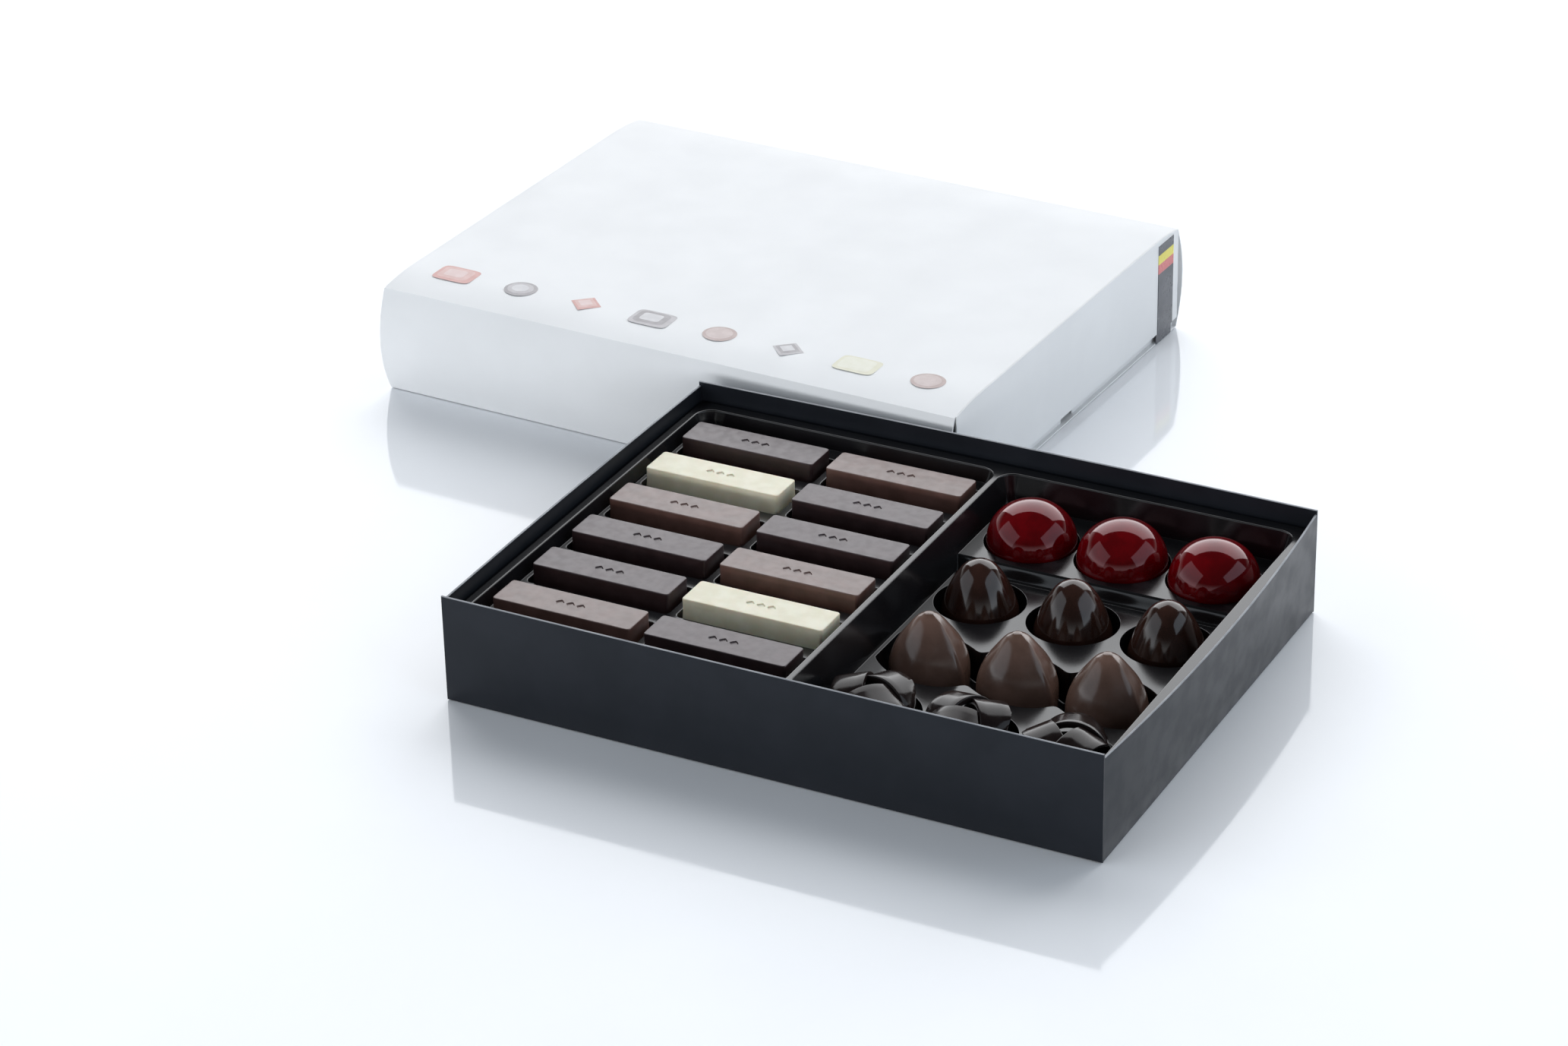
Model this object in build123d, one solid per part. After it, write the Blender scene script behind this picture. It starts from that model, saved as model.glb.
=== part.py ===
from build123d import *
import os
from math import acos, cos, degrees, radians, sin, sqrt

os.makedirs("parts", exist_ok=True)

# Card and sheet, in millimetres
tray_card = 0.7
sheet = 0.5
sleeve_card = 0.5

# Bars: what the box is laid out around
bar_rows = 6
bar_top_length = 46.9
bar_top_width = 12.2
bar_end_draft = 0.5
bar_side_draft = 1.7
bar_height = 15.0
bar_corner = 1.0
bar_edge = 0.25
mark_size = 2.2
mark_pitch = 3.6
mark_depth = 0.35
mark_turn = 45.0
mark_steps = (-1, 0, 1)

# Round pralines, in columns
praline_column_count = 3
dome_radius = 14.4
dome_foot_draft = 0.7
dome_rise = 13.4
egg_radius = 13.1
egg_height = 24.7
egg_radius_shares = (1.0, 0.962, 0.878, 0.664, 0.427)
egg_level_shares = (0.0, 0.2, 0.42, 0.7, 0.89)

# Teardrops, drawn out to a point
teardrop_radius = 12.3
teardrop_tip = 14.9
teardrop_height = 26.0
teardrop_radius_shares = (0.976, 1.0, 0.98, 0.81, 0.53, 0.3, 0.106)
teardrop_tip_shares = (0.98, 1.0, 0.965, 0.79, 0.53, 0.316, 0.128)
teardrop_level_shares = (0.0, 0.2, 0.4, 0.62, 0.81, 0.94, 1.0)
teardrop_turn = -22.0

# Knots of folded ribbon: a round base under straps that arch over one another
knot_radius = 12.9
knot_top_draft = 0.5
knot_base_height = 9.0
strap_count = 3
strap_inset = 0.7
strap_thickness = 2.0
strap_width = 10.0
strap_axis_height = 7.7
strap_shift = 4.6
strap_lean = 14.0
strap_swing = 16.0
knot_turns = (58.0, 22.0, -32.0)

# Wells: room around each chocolate, lands between them
bar_end_room = 0.7
bar_side_room = 1.0
bar_well_corner = 1.8
bar_well_taper = 0.4
bar_column_land = 2.8
bar_row_land = 6.27
bar_left_land = 2.75
bar_right_land = 1.95
bar_side_land = 7.025
dome_room = 0.5
egg_room = 1.2
knot_room = 1.4
teardrop_tip_room = 4.0
teardrop_side_room = 2.0
well_taper = 0.5
praline_land = 1.3
praline_left_land = 3.7
praline_right_land = 3.4
dome_back_land = 7.1
dome_front_land = 2.4
dome_shift = 1.0
dome_pitch_share = 0.987
egg_back_land = 1.0
teardrop_land = 4.0
teardrop_row_share = 0.456
teardrop_shift = 1.4
teardrop_pitch_share = 0.931
knot_front_land = 5.6
knot_shift = -0.5

# Levels, each counted from the one below it
well_lift = 3.8
deep_well_depth = 10.3
platform_step = 4.1
bar_platform_step = 4.9
pocket_depth = 4.9
wall_rise = 6.4
end_wall_drop = 1.4
dome_well_depth = 6.0
bar_well_depth = 9.9

# Insert and tray
insert_clearance = 0.6
end_flange = 3.1
right_flange = 2.9
side_flange = 4.7
skirt_corner = 3.0
pocket_corner = 5.4
rib_width = 2.2
riser_run = 3.2
bar_draft_share = 0.25
praline_draft_share = 0.25
right_bow = 3.7
left_bow = 0.8
back_bow = 1.0
front_bow = 0.4

# Carton sleeve behind the tray
sleeve_clearance = 2.1
sleeve_headroom = 1.2
sleeve_end_room = 5.0
sleeve_crown = 1.8
sleeve_dip = 18.0
sleeve_bulge = 4.6
sleeve_gap = 0.35
sleeve_shift = 17.1
sleeve_turn = -2.24
dust_flap_reach = 80.0
dust_flap_recess = 1.5
flap_inset = 0.6
flap_gap = 4.0

# Seal label on the end flap
label_width = 12.0
label_margin = 10.9
label_top_margin = 0.2
label_thickness = 0.2

# Sizes that follow: chocolates and wells
bar_base_length = bar_top_length + 2 * bar_end_draft
bar_base_width = bar_top_width + 2 * bar_side_draft
bar_well_length = bar_base_length + 2 * bar_end_room
bar_well_width = bar_base_width + 2 * bar_side_room
bar_pitch = bar_well_width + bar_row_land
dome_well_radius = dome_radius + dome_room
egg_well_radius = egg_radius + egg_room
knot_well_radius = knot_radius + knot_room
teardrop_well_long = teardrop_tip + teardrop_tip_room
teardrop_well_short = teardrop_radius + teardrop_side_room
round_well_radius = max(dome_well_radius, egg_well_radius, knot_well_radius)
praline_pitch = 2 * round_well_radius + praline_land

# Levels that follow
deep_well_floor = tray_card + well_lift + sheet
lower_platform = deep_well_floor + deep_well_depth
upper_platform = lower_platform + platform_step
bar_platform = upper_platform + bar_platform_step
rim_height = bar_platform + pocket_depth
tray_height = rim_height + wall_rise
end_wall_height = tray_height - end_wall_drop
dome_well_floor = upper_platform - dome_well_depth
bar_well_floor = bar_platform - bar_well_depth

# Compartments and tray that follow
bar_field_length = bar_left_land + 2 * bar_well_length + bar_column_land + bar_right_land
bar_field_width = 2 * bar_side_land + bar_rows * bar_well_width + (bar_rows - 1) * bar_row_land
praline_run = 2 * round_well_radius + (praline_column_count - 1) * praline_pitch
praline_field_length = praline_left_land + praline_run + praline_right_land
dome_run = dome_back_land + 2 * dome_well_radius + dome_front_land
egg_run = riser_run + egg_back_land + 2 * egg_well_radius
teardrop_run = 2 * (teardrop_land + teardrop_well_short)
knot_run = 2 * knot_well_radius + knot_front_land
pocket_width = max(bar_field_width, dome_run + egg_run + teardrop_run + knot_run)
skirt_length = end_flange + bar_field_length + rib_width + praline_field_length + right_flange
skirt_width = pocket_width + 2 * side_flange
tray_length = skirt_length + 2 * (tray_card + insert_clearance)
tray_width = skirt_width + 2 * (tray_card + insert_clearance)
skirt_x = skirt_length / 2
skirt_y = skirt_width / 2
pocket_left = end_flange - skirt_x
pocket_right = skirt_x - right_flange
pocket_side = pocket_width / 2
rib_left = pocket_left + bar_field_length
rib_right = rib_left + rib_width
bar_sides = (pocket_left, rib_left, -pocket_side, pocket_side)
praline_sides = (rib_right, pocket_right, -pocket_side, pocket_side)

# Columns and rows that follow
first_bar_column = pocket_left + bar_left_land + bar_well_length / 2
bar_columns = (first_bar_column, first_bar_column + bar_well_length + bar_column_land)
first_column = rib_right + praline_left_land + round_well_radius
column_steps = [number * praline_pitch for number in range(praline_column_count)]
praline_columns = [first_column + step for step in column_steps]
dome_columns = [first_column + dome_shift + step * dome_pitch_share for step in column_steps]
teardrop_columns = [first_column + teardrop_shift + step * teardrop_pitch_share for step in column_steps]
dome_row = pocket_side - dome_back_land - dome_well_radius
riser_top = dome_row - dome_well_radius - dome_front_land
riser_foot = riser_top - riser_run
egg_row = riser_foot - egg_back_land - egg_well_radius
knot_row = knot_front_land + knot_well_radius - pocket_side
egg_front = egg_row - egg_well_radius
knot_back = knot_row + knot_well_radius
teardrop_row = knot_back + (egg_front - knot_back) * teardrop_row_share

# Sleeve sizes that follow
sleeve_width = tray_width + 2 * (sleeve_card + sleeve_clearance)
sleeve_length = tray_length + sleeve_end_room
sleeve_crease_height = tray_height + 2 * sleeve_card + sleeve_headroom
sleeve_height = sleeve_crease_height + sleeve_crown
sleeve_reach = (sleeve_width / 2 + sleeve_bulge) * cos(radians(sleeve_turn))
sleeve_swing = sleeve_length / 2 * sin(radians(abs(sleeve_turn)))
sleeve_y = tray_width / 2 + back_bow + sleeve_gap + sleeve_reach + sleeve_swing
sleeve_spot = (-tray_length / 2 - sleeve_shift, sleeve_y)
tube_length = sleeve_length - sleeve_card
tube_end = sleeve_length / 2 - sleeve_card
label_place = sleeve_width / 2 - label_margin
label_top = sleeve_crease_height - label_top_margin


# Shared forms

def rounded_section(x_low, x_high, y_low, y_high, radius, level):
    """Rounded rectangle between four sides, on a level plane."""
    outline = RectangleRounded(x_high - x_low, y_high - y_low, radius)
    return Pos((x_low + x_high) / 2, (y_low + y_high) / 2, level) * outline


def place(part, spot, level, turn=0.0):
    """A part moved to a spot at a level and turned about the vertical."""
    return Location((spot[0], spot[1], level), (0, 0, turn)) * part


def upright_cone(base_radius, top_radius, height):
    """Cone that stands on level zero."""
    return Cone(base_radius, top_radius, height, align=(Align.CENTER, Align.CENTER, Align.MIN))


def upright_cylinder(radius, height):
    """Cylinder that stands on level zero."""
    return Cylinder(radius, height, align=(Align.CENTER, Align.CENTER, Align.MIN))


# Tray

def wall_strip(length, bow, level):
    """Cross-section of a card wall that bows outward along Y."""
    half = length / 2
    outer = Bezier((-half, 0), (0, 2 * bow), (half, 0))
    right = Line((half, 0), (half, -tray_card))
    inner = Bezier((half, -tray_card), (0, 2 * bow - tray_card), (-half, -tray_card))
    left = Line((-half, -tray_card), (-half, 0))
    return Pos(0, 0, level) * Face(Wire([outer, right, inner, left]))


def card_wall(length, height, bow):
    """Card wall, straight at its foot and bowed at its top edge."""
    return loft([wall_strip(length, 0, 0), wall_strip(length, bow, height)], ruled=True)


def make_tray():
    """Folded tray: floor, two long walls and two lower end walls."""
    end_length = tray_width - tray_card
    tray = Pos(0, 0, tray_card / 2) * Box(tray_length, tray_width, tray_card)
    back = card_wall(tray_length, tray_height, back_bow)
    front = card_wall(tray_length, tray_height, front_bow)
    right = card_wall(end_length, end_wall_height, right_bow)
    left = card_wall(end_length, end_wall_height, left_bow)
    tray += place(back, (0, tray_width / 2), 0)
    tray += place(front, (0, -tray_width / 2), 0, 180)
    tray += place(right, (tray_length / 2, 0), 0, -90)
    tray += place(left, (-tray_length / 2, 0), 0, 90)
    return tray


# Insert

def skirt_block(inset, low, high):
    """Block inside the tray's walls, shrunk by an inset on every side."""
    length = 2 * (skirt_x - inset)
    width = 2 * (skirt_y - inset)
    outline = RectangleRounded(length, width, skirt_corner - inset)
    return extrude(Pos(0, 0, low) * outline, high - low)


def flange():
    """Flat lip at the rim that follows the bowed right wall."""
    reach = right_bow * (rim_height - sheet) / end_wall_height
    half = skirt_y - skirt_corner
    edge = Bezier((skirt_x, -half), (skirt_x + 2 * reach, 0), (skirt_x, half))
    chord = Line((skirt_x, half), (skirt_x, -half))
    lip = Pos(0, 0, rim_height - sheet) * Face(Wire([edge, chord]))
    return extrude(lip, sheet)


def pocket_level(sides, share, level, grow):
    """Pocket outline at a level, narrower with depth by the draft share."""
    draft = share * (rim_height - level) - grow
    x_low, x_high, y_low, y_high = sides
    outline = (x_low + draft, x_high - draft, y_low + draft, y_high - draft)
    return rounded_section(*outline, pocket_corner, level)


def pocket(sides, share, floor, grow):
    """Drafted pocket from the rim down to a platform."""
    low = floor - grow
    sections = [pocket_level(sides, share, low, grow), pocket_level(sides, share, rim_height, grow)]
    return loft(sections, ruled=True)


def step_pocket(grow):
    """Lower half of the praline pocket, in front of the riser."""
    x_low, x_high, y_low, _ = praline_sides
    sections = []
    for level, back in ((lower_platform - grow, riser_foot), (upper_platform, riser_top)):
        draft = praline_draft_share * (rim_height - level) - grow
        outline = (x_low + draft, x_high - draft, y_low + draft, back + grow)
        sections.append(rounded_section(*outline, pocket_corner, level))
    return loft(sections, ruled=True)


def pockets(grow):
    """Both compartments, grown by the sheet's thickness for their underside."""
    space = pocket(bar_sides, bar_draft_share, bar_platform, grow)
    space += pocket(praline_sides, praline_draft_share, upper_platform, grow)
    return space + step_pocket(grow)


def bar_well(grow):
    """Tapered well with the outline of a bar."""
    sections = []
    for level, taper in ((bar_well_floor - grow, bar_well_taper), (bar_platform, 0)):
        x = bar_well_length / 2 - taper + grow
        y = bar_well_width / 2 - taper + grow
        sections.append(rounded_section(-x, x, -y, y, bar_well_corner, level))
    return loft(sections, ruled=True)


def round_well(radius, floor, platform, grow):
    """Tapered round well."""
    height = platform - floor + grow
    cone = upright_cone(radius - well_taper + grow, radius + grow, height)
    return Pos(0, 0, floor - grow) * cone


def oval_well(grow):
    """Tapered oval well of a teardrop."""
    sections = []
    for level, taper in ((deep_well_floor - grow, well_taper), (lower_platform, 0)):
        oval = Ellipse(teardrop_well_long - taper + grow, teardrop_well_short - taper + grow)
        sections.append(Pos(0, 0, level) * oval)
    return loft(sections, ruled=True)


def oval_wells(grow):
    """Row of oval wells that run into one another and end at the pocket's walls."""
    well = oval_well(grow)
    section = pocket_level(praline_sides, praline_draft_share, lower_platform, grow)
    field = extrude(section, deep_well_floor - grow - lower_platform)
    return [place(well, (x, teardrop_row), 0, teardrop_turn) & field for x in teardrop_columns]


def bar_spots():
    """Centres of the bars, column by column from the back row."""
    first = (bar_rows - 1) / 2 * bar_pitch
    return [(x, first - row * bar_pitch) for x in bar_columns for row in range(bar_rows)]


def wells(grow):
    """Every well of the insert."""
    dome = round_well(dome_well_radius, dome_well_floor, upper_platform, grow)
    egg = round_well(egg_well_radius, deep_well_floor, lower_platform, grow)
    knot = round_well(knot_well_radius, deep_well_floor, lower_platform, grow)
    spaces = [place(bar_well(grow), spot, 0) for spot in bar_spots()]
    spaces += [place(dome, (x, dome_row), 0) for x in dome_columns]
    for x in praline_columns:
        spaces.append(place(egg, (x, egg_row), 0))
        spaces.append(place(knot, (x, knot_row), 0))
    return spaces + oval_wells(grow)


def make_insert():
    """Thermoformed sheet: pockets and wells above, their offset below."""
    body = skirt_block(0, tray_card, rim_height) + flange()
    body -= pockets(0)
    body -= wells(0)
    under = skirt_block(sheet, 0, rim_height - sheet)
    under -= pockets(sheet)
    under -= wells(sheet)
    return body - under


# Chocolates, each standing on level zero at the origin

def make_bar():
    """Tapered bar with rounded corners, a chamfered top and a small mark pressed into it."""
    foot = Rectangle(bar_base_length, bar_base_width)
    top = Rectangle(bar_top_length + 2 * bar_edge, bar_top_width + 2 * bar_edge)
    bar = loft([Pos(0, 0, 0) * foot, Pos(0, 0, bar_height) * top], ruled=True)
    bar = fillet(bar.edges().group_by(Axis.Z)[1], bar_corner)
    bar = chamfer(bar.edges().group_by(Axis.Z)[-1], bar_edge)
    for step in mark_steps:
        mark = Rot(0, 0, mark_turn) * Box(mark_size, mark_size, mark_depth)
        bar -= Pos(step * mark_pitch, 0, bar_height - mark_depth / 2) * mark
    return bar


def make_dome():
    """Round dome on a slightly tapered foot."""
    foot = dome_well_depth
    apex = foot + dome_rise
    base_radius = dome_radius - dome_foot_draft
    foot_line = Line((0, 0), (base_radius, 0))
    side = Line((base_radius, 0), (dome_radius, foot))
    crown = Bezier((dome_radius, foot), (dome_radius, apex), (0, apex), weights=[1, sqrt(1 / 2), 1])
    axis = Line((0, apex), (0, 0))
    return revolve(Plane.XZ * Face(Wire([foot_line, side, crown, axis])), Axis.Z)


def make_egg():
    """Cone with a rounded top, widest at its foot."""
    shares = zip(egg_radius_shares, egg_level_shares)
    points = [(wide * egg_radius, high * egg_height) for wide, high in shares]
    points.append((0, egg_height))
    curve = Spline(*points, tangents=((0, 1), (-1, 0)))
    foot_line = Line((0, 0), points[0])
    axis = Line(points[-1], (0, 0))
    return revolve(Plane.XZ * Face(Wire([foot_line, curve, axis])), Axis.Z)


def teardrop_section(radius, tip, level):
    """Circle drawn out to a point along X."""
    angle = degrees(acos(radius / tip))
    reach = radians(angle)
    start = (radius * cos(reach), radius * sin(reach))
    finish = (start[0], -start[1])
    back = CenterArc((0, 0), radius, angle, 360 - 2 * angle)
    outline = Wire([Line((tip, 0), start), back, Line(finish, (tip, 0))])
    return Pos(0, 0, level) * Face(outline)


def make_teardrop():
    """Teardrop with one ridge from its apex to its point."""
    rings = zip(teardrop_radius_shares, teardrop_tip_shares, teardrop_level_shares)
    sections = []
    for wide, long, high in rings:
        section = teardrop_section(wide * teardrop_radius, long * teardrop_tip, high * teardrop_height)
        sections.append(section)
    return loft(sections)


def make_strap():
    """Strap that arches over one side of a knot and leans outward."""
    radius = knot_radius - strap_inset
    strap = Rot(0, 90, 0) * Cylinder(radius, strap_width)
    strap -= Rot(0, 90, 0) * Cylinder(radius - strap_thickness, strap_width)
    return Pos(strap_shift, 0, strap_axis_height) * Rot(0, strap_lean, strap_swing) * strap


def make_knot():
    """Round base under straps of folded ribbon."""
    strap = make_strap()
    knot = upright_cone(knot_radius, knot_radius - knot_top_draft, knot_base_height)
    for number in range(strap_count):
        knot += Rot(0, 0, number * 360 / strap_count) * strap
    reach = 2 * knot_radius
    return knot & upright_cylinder(knot_radius, reach)


# Sleeve, built along X about its own centre and then set behind the tray

def tube_section(inset):
    """Outline of the tube: flat bottom, bowed sides, top that dips to its creases."""
    half = sleeve_width / 2 - inset
    crease = sleeve_crease_height - inset
    top = sleeve_height - inset
    flat = half - sleeve_dip
    middle = sleeve_crease_height / 2
    edges = [Line((-half, inset), (half, inset))]
    edges.append(ThreePointArc((half, inset), (half + sleeve_bulge, middle), (half, crease)))
    edges.append(Bezier((half, crease), (half - sleeve_dip / 2, top), (flat, top)))
    edges.append(Line((flat, top), (-flat, top)))
    edges.append(Bezier((-flat, top), (sleeve_dip / 2 - half, top), (-half, crease)))
    edges.append(ThreePointArc((-half, crease), (-half - sleeve_bulge, middle), (-half, inset)))
    return Face(Wire(edges))


def along_tube(face, start, length):
    """Face of the cross-section, extruded along the tube from a start."""
    return Pos(start, 0, 0) * extrude(Plane.YZ * face, length)


def set_sleeve(part):
    """Part moved from the sleeve's own frame to its place behind the tray."""
    return place(part, sleeve_spot, 0, sleeve_turn)


def make_sleeve():
    """Tube open at its left end, with two dust flaps at its right end."""
    shell = along_tube(tube_section(0) - tube_section(sleeve_card), tube_end - tube_length, tube_length)
    inner_edge = sleeve_width / 2 - dust_flap_reach
    outer_edge = sleeve_width / 2 + sleeve_bulge
    outline = Rectangle(outer_edge - inner_edge, sleeve_crease_height)
    dust_flap_face = tube_end - dust_flap_recess
    for side in (-1, 1):
        middle = side * (inner_edge + outer_edge) / 2
        window = Pos(middle, sleeve_crease_height / 2) * outline
        shell += along_tube(tube_section(0) & window, dust_flap_face - sleeve_card, sleeve_card)
    return set_sleeve(shell)


def make_end_flap():
    """Flat end flap, narrower than the bowed tube and clear of the floor."""
    width = sleeve_width - 2 * flap_inset
    window = Pos(0, flap_gap + sleeve_height / 2) * Rectangle(width, sleeve_height)
    return set_sleeve(along_tube(tube_section(0) & window, tube_end, sleeve_card))


def make_label(low, high, start):
    """Strip of the seal label between two levels."""
    strip = Pos(label_place, (low + high) / 2) * Rectangle(label_width, high - low)
    return set_sleeve(along_tube(strip, start, label_thickness))


# Export

def save(part, name):
    """One STEP file per sub-part."""
    solid = part.solids()[0] if len(part.solids()) == 1 else part
    solid.label = name
    export_step(solid, f"parts/{name}.step")


def save_row(part, name, spots, level, turns):
    """Copies of a chocolate at the wells of its row."""
    for number, (spot, turn) in enumerate(zip(spots, turns), start=1):
        save(place(part, spot, level, turn), f"{name}_{number}")


def main():
    """Build and export every sub-part."""
    save(make_tray(), "tray")
    save(make_insert(), "insert")
    level_turns = (0,) * len(praline_columns)
    bars = bar_spots()
    bar = make_bar()
    save_row(bar, "bar_left", bars[:bar_rows], bar_well_floor, (0,) * bar_rows)
    save_row(bar, "bar_right", bars[bar_rows:], bar_well_floor, (0,) * bar_rows)
    save_row(make_dome(), "dome", [(x, dome_row) for x in dome_columns], dome_well_floor, level_turns)
    save_row(make_egg(), "egg", [(x, egg_row) for x in praline_columns], deep_well_floor, level_turns)
    drops = [(x, teardrop_row) for x in teardrop_columns]
    save_row(make_teardrop(), "teardrop", drops, deep_well_floor, (teardrop_turn,) * len(drops))
    knots = [(x + knot_shift, knot_row) for x in praline_columns]
    save_row(make_knot(), "knot", knots, deep_well_floor, knot_turns)
    save(make_sleeve(), "sleeve")
    save(make_end_flap(), "end_flap")
    save(make_label(flap_gap, label_top, tube_end + sleeve_card), "seal_label")
    save(make_label(0, flap_gap - label_thickness, tube_end), "seal_tail")


if __name__ == "__main__":
    main()
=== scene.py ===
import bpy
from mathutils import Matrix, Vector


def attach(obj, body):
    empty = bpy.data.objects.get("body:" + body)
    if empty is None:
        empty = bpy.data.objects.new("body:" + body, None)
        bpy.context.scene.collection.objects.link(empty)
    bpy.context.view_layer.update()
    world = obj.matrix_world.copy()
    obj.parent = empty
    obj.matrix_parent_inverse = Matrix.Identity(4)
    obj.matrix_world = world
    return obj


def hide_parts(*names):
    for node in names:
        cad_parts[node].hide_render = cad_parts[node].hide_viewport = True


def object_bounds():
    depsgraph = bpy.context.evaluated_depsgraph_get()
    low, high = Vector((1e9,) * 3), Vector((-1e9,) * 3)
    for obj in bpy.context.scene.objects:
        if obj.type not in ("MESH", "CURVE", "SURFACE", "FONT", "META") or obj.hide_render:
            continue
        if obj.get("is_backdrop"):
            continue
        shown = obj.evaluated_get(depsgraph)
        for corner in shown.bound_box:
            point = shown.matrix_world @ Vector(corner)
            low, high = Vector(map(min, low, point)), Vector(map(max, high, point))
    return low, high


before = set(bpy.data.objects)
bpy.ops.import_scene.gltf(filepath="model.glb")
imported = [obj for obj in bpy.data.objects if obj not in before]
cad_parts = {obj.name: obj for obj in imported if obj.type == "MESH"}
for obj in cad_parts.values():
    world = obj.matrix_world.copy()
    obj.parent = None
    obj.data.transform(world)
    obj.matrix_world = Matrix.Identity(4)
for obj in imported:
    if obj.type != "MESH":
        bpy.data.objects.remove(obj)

import logging
import math
from dataclasses import dataclass, field
from enum import Enum
from typing import Callable, Iterable, Sequence

import bpy
from mathutils import Matrix, Vector, noise
from mathutils.geometry import delaunay_2d_cdt, tessellate_polygon

LOG = logging.getLogger("chocolate_box")
MM = 0.001
SEED = 1

Flat = tuple[float, float]
Outline = list[Flat]
Point = tuple[float, float, float]
Row = list[Point]
Colour = tuple[float, float, float]


# Shader helpers

class Graph:
    """A material's or world's node tree."""

    def __init__(self, tree: bpy.types.NodeTree) -> None:
        self.tree = tree
        tree.nodes.clear()

    def node(self, kind: str, inputs: dict[str | int, object] | None = None,
             **settings: object) -> bpy.types.Node:
        """Adds a node.

        Args:
            kind: The node's type name.
            inputs: Values, or sockets to link, by socket name or number.
            settings: The node's own properties.

        Returns:
            The new node.
        """
        made = self.tree.nodes.new(kind)
        for key, value in settings.items():
            setattr(made, key, value)
        for key, value in (inputs or {}).items():
            self.feed(made.inputs[key], value)
        return made

    def feed(self, socket: bpy.types.NodeSocket, value: object) -> None:
        """Links a socket into an input, or sets the input's value.

        Args:
            socket: The input.
            value: A Value, an output socket or a constant.
        """
        if isinstance(value, Value):
            value = value.socket
        if isinstance(value, bpy.types.NodeSocket):
            self.tree.links.new(value, socket)
            return
        if isinstance(value, tuple) and len(value) == 3 and socket.type == "RGBA":
            value = (*value, 1.0)
        socket.default_value = value


class Value:
    """An output socket that takes part in sums."""

    def __init__(self, graph: Graph, socket: bpy.types.NodeSocket) -> None:
        self.graph = graph
        self.socket = socket

    def _math(self, operation: str, *others: object) -> "Value":
        """One Math node.

        Args:
            operation: The Math node's operation.
            others: The other inputs.

        Returns:
            The result.
        """
        inputs = dict(enumerate((self, *others)))
        made = self.graph.node("ShaderNodeMath", inputs, operation=operation)
        return Value(self.graph, made.outputs[0])

    def __add__(self, other: object) -> "Value":
        return self._math("ADD", other)

    def __mul__(self, other: object) -> "Value":
        return self._math("MULTIPLY", other)

    def __truediv__(self, other: object) -> "Value":
        return self._math("DIVIDE", other)

    def above(self, level: float) -> "Value":
        """One where this value is above a level.

        Args:
            level: The level.

        Returns:
            A mask of zeros and ones.
        """
        return self._math("GREATER_THAN", level)

    def spread(self, low: float, high: float) -> "Value":
        """Maps zero to one onto a range.

        Args:
            low: Result at zero.
            high: Result at one.

        Returns:
            The mapped value.
        """
        return self * (high - low) + low

    def ramp(self, low: float, high: float) -> "Value":
        """Smooth step between two levels.

        Args:
            low: Level that gives zero.
            high: Level that gives one.

        Returns:
            The step.
        """
        inputs = {0: self, 1: low, 2: high}
        made = self.graph.node("ShaderNodeMapRange", inputs, interpolation_type="SMOOTHSTEP")
        return Value(self.graph, made.outputs[0])

    def mix(self, first: object, second: object) -> "Value":
        """Mixes two colours by this value.

        Args:
            first: Colour at zero.
            second: Colour at one.

        Returns:
            The mixed colour.
        """
        made = self.graph.node("ShaderNodeMix", data_type="RGBA")
        colours = [socket for socket in made.inputs if socket.type == "RGBA"]
        self.graph.feed(made.inputs[0], self)
        self.graph.feed(colours[0], first)
        self.graph.feed(colours[1], second)
        return Value(self.graph, [socket for socket in made.outputs if socket.type == "RGBA"][0])


@dataclass(frozen=True)
class Finish:
    """How a surface looks.

    Sizes of patterns are in millimetres.
    """

    name: str
    colour: Colour
    worn: Colour
    rough_low: float
    rough_high: float
    patch: float = 12.0
    grain: float = 0.6
    relief: float = 0.01
    wave: float = 0.0
    wave_size: float = 20.0
    specular: float = 0.5
    subsurface: float = 0.0
    subsurface_scale: float = 0.002
    tint: Colour = (1.0, 1.0, 1.0)


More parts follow.
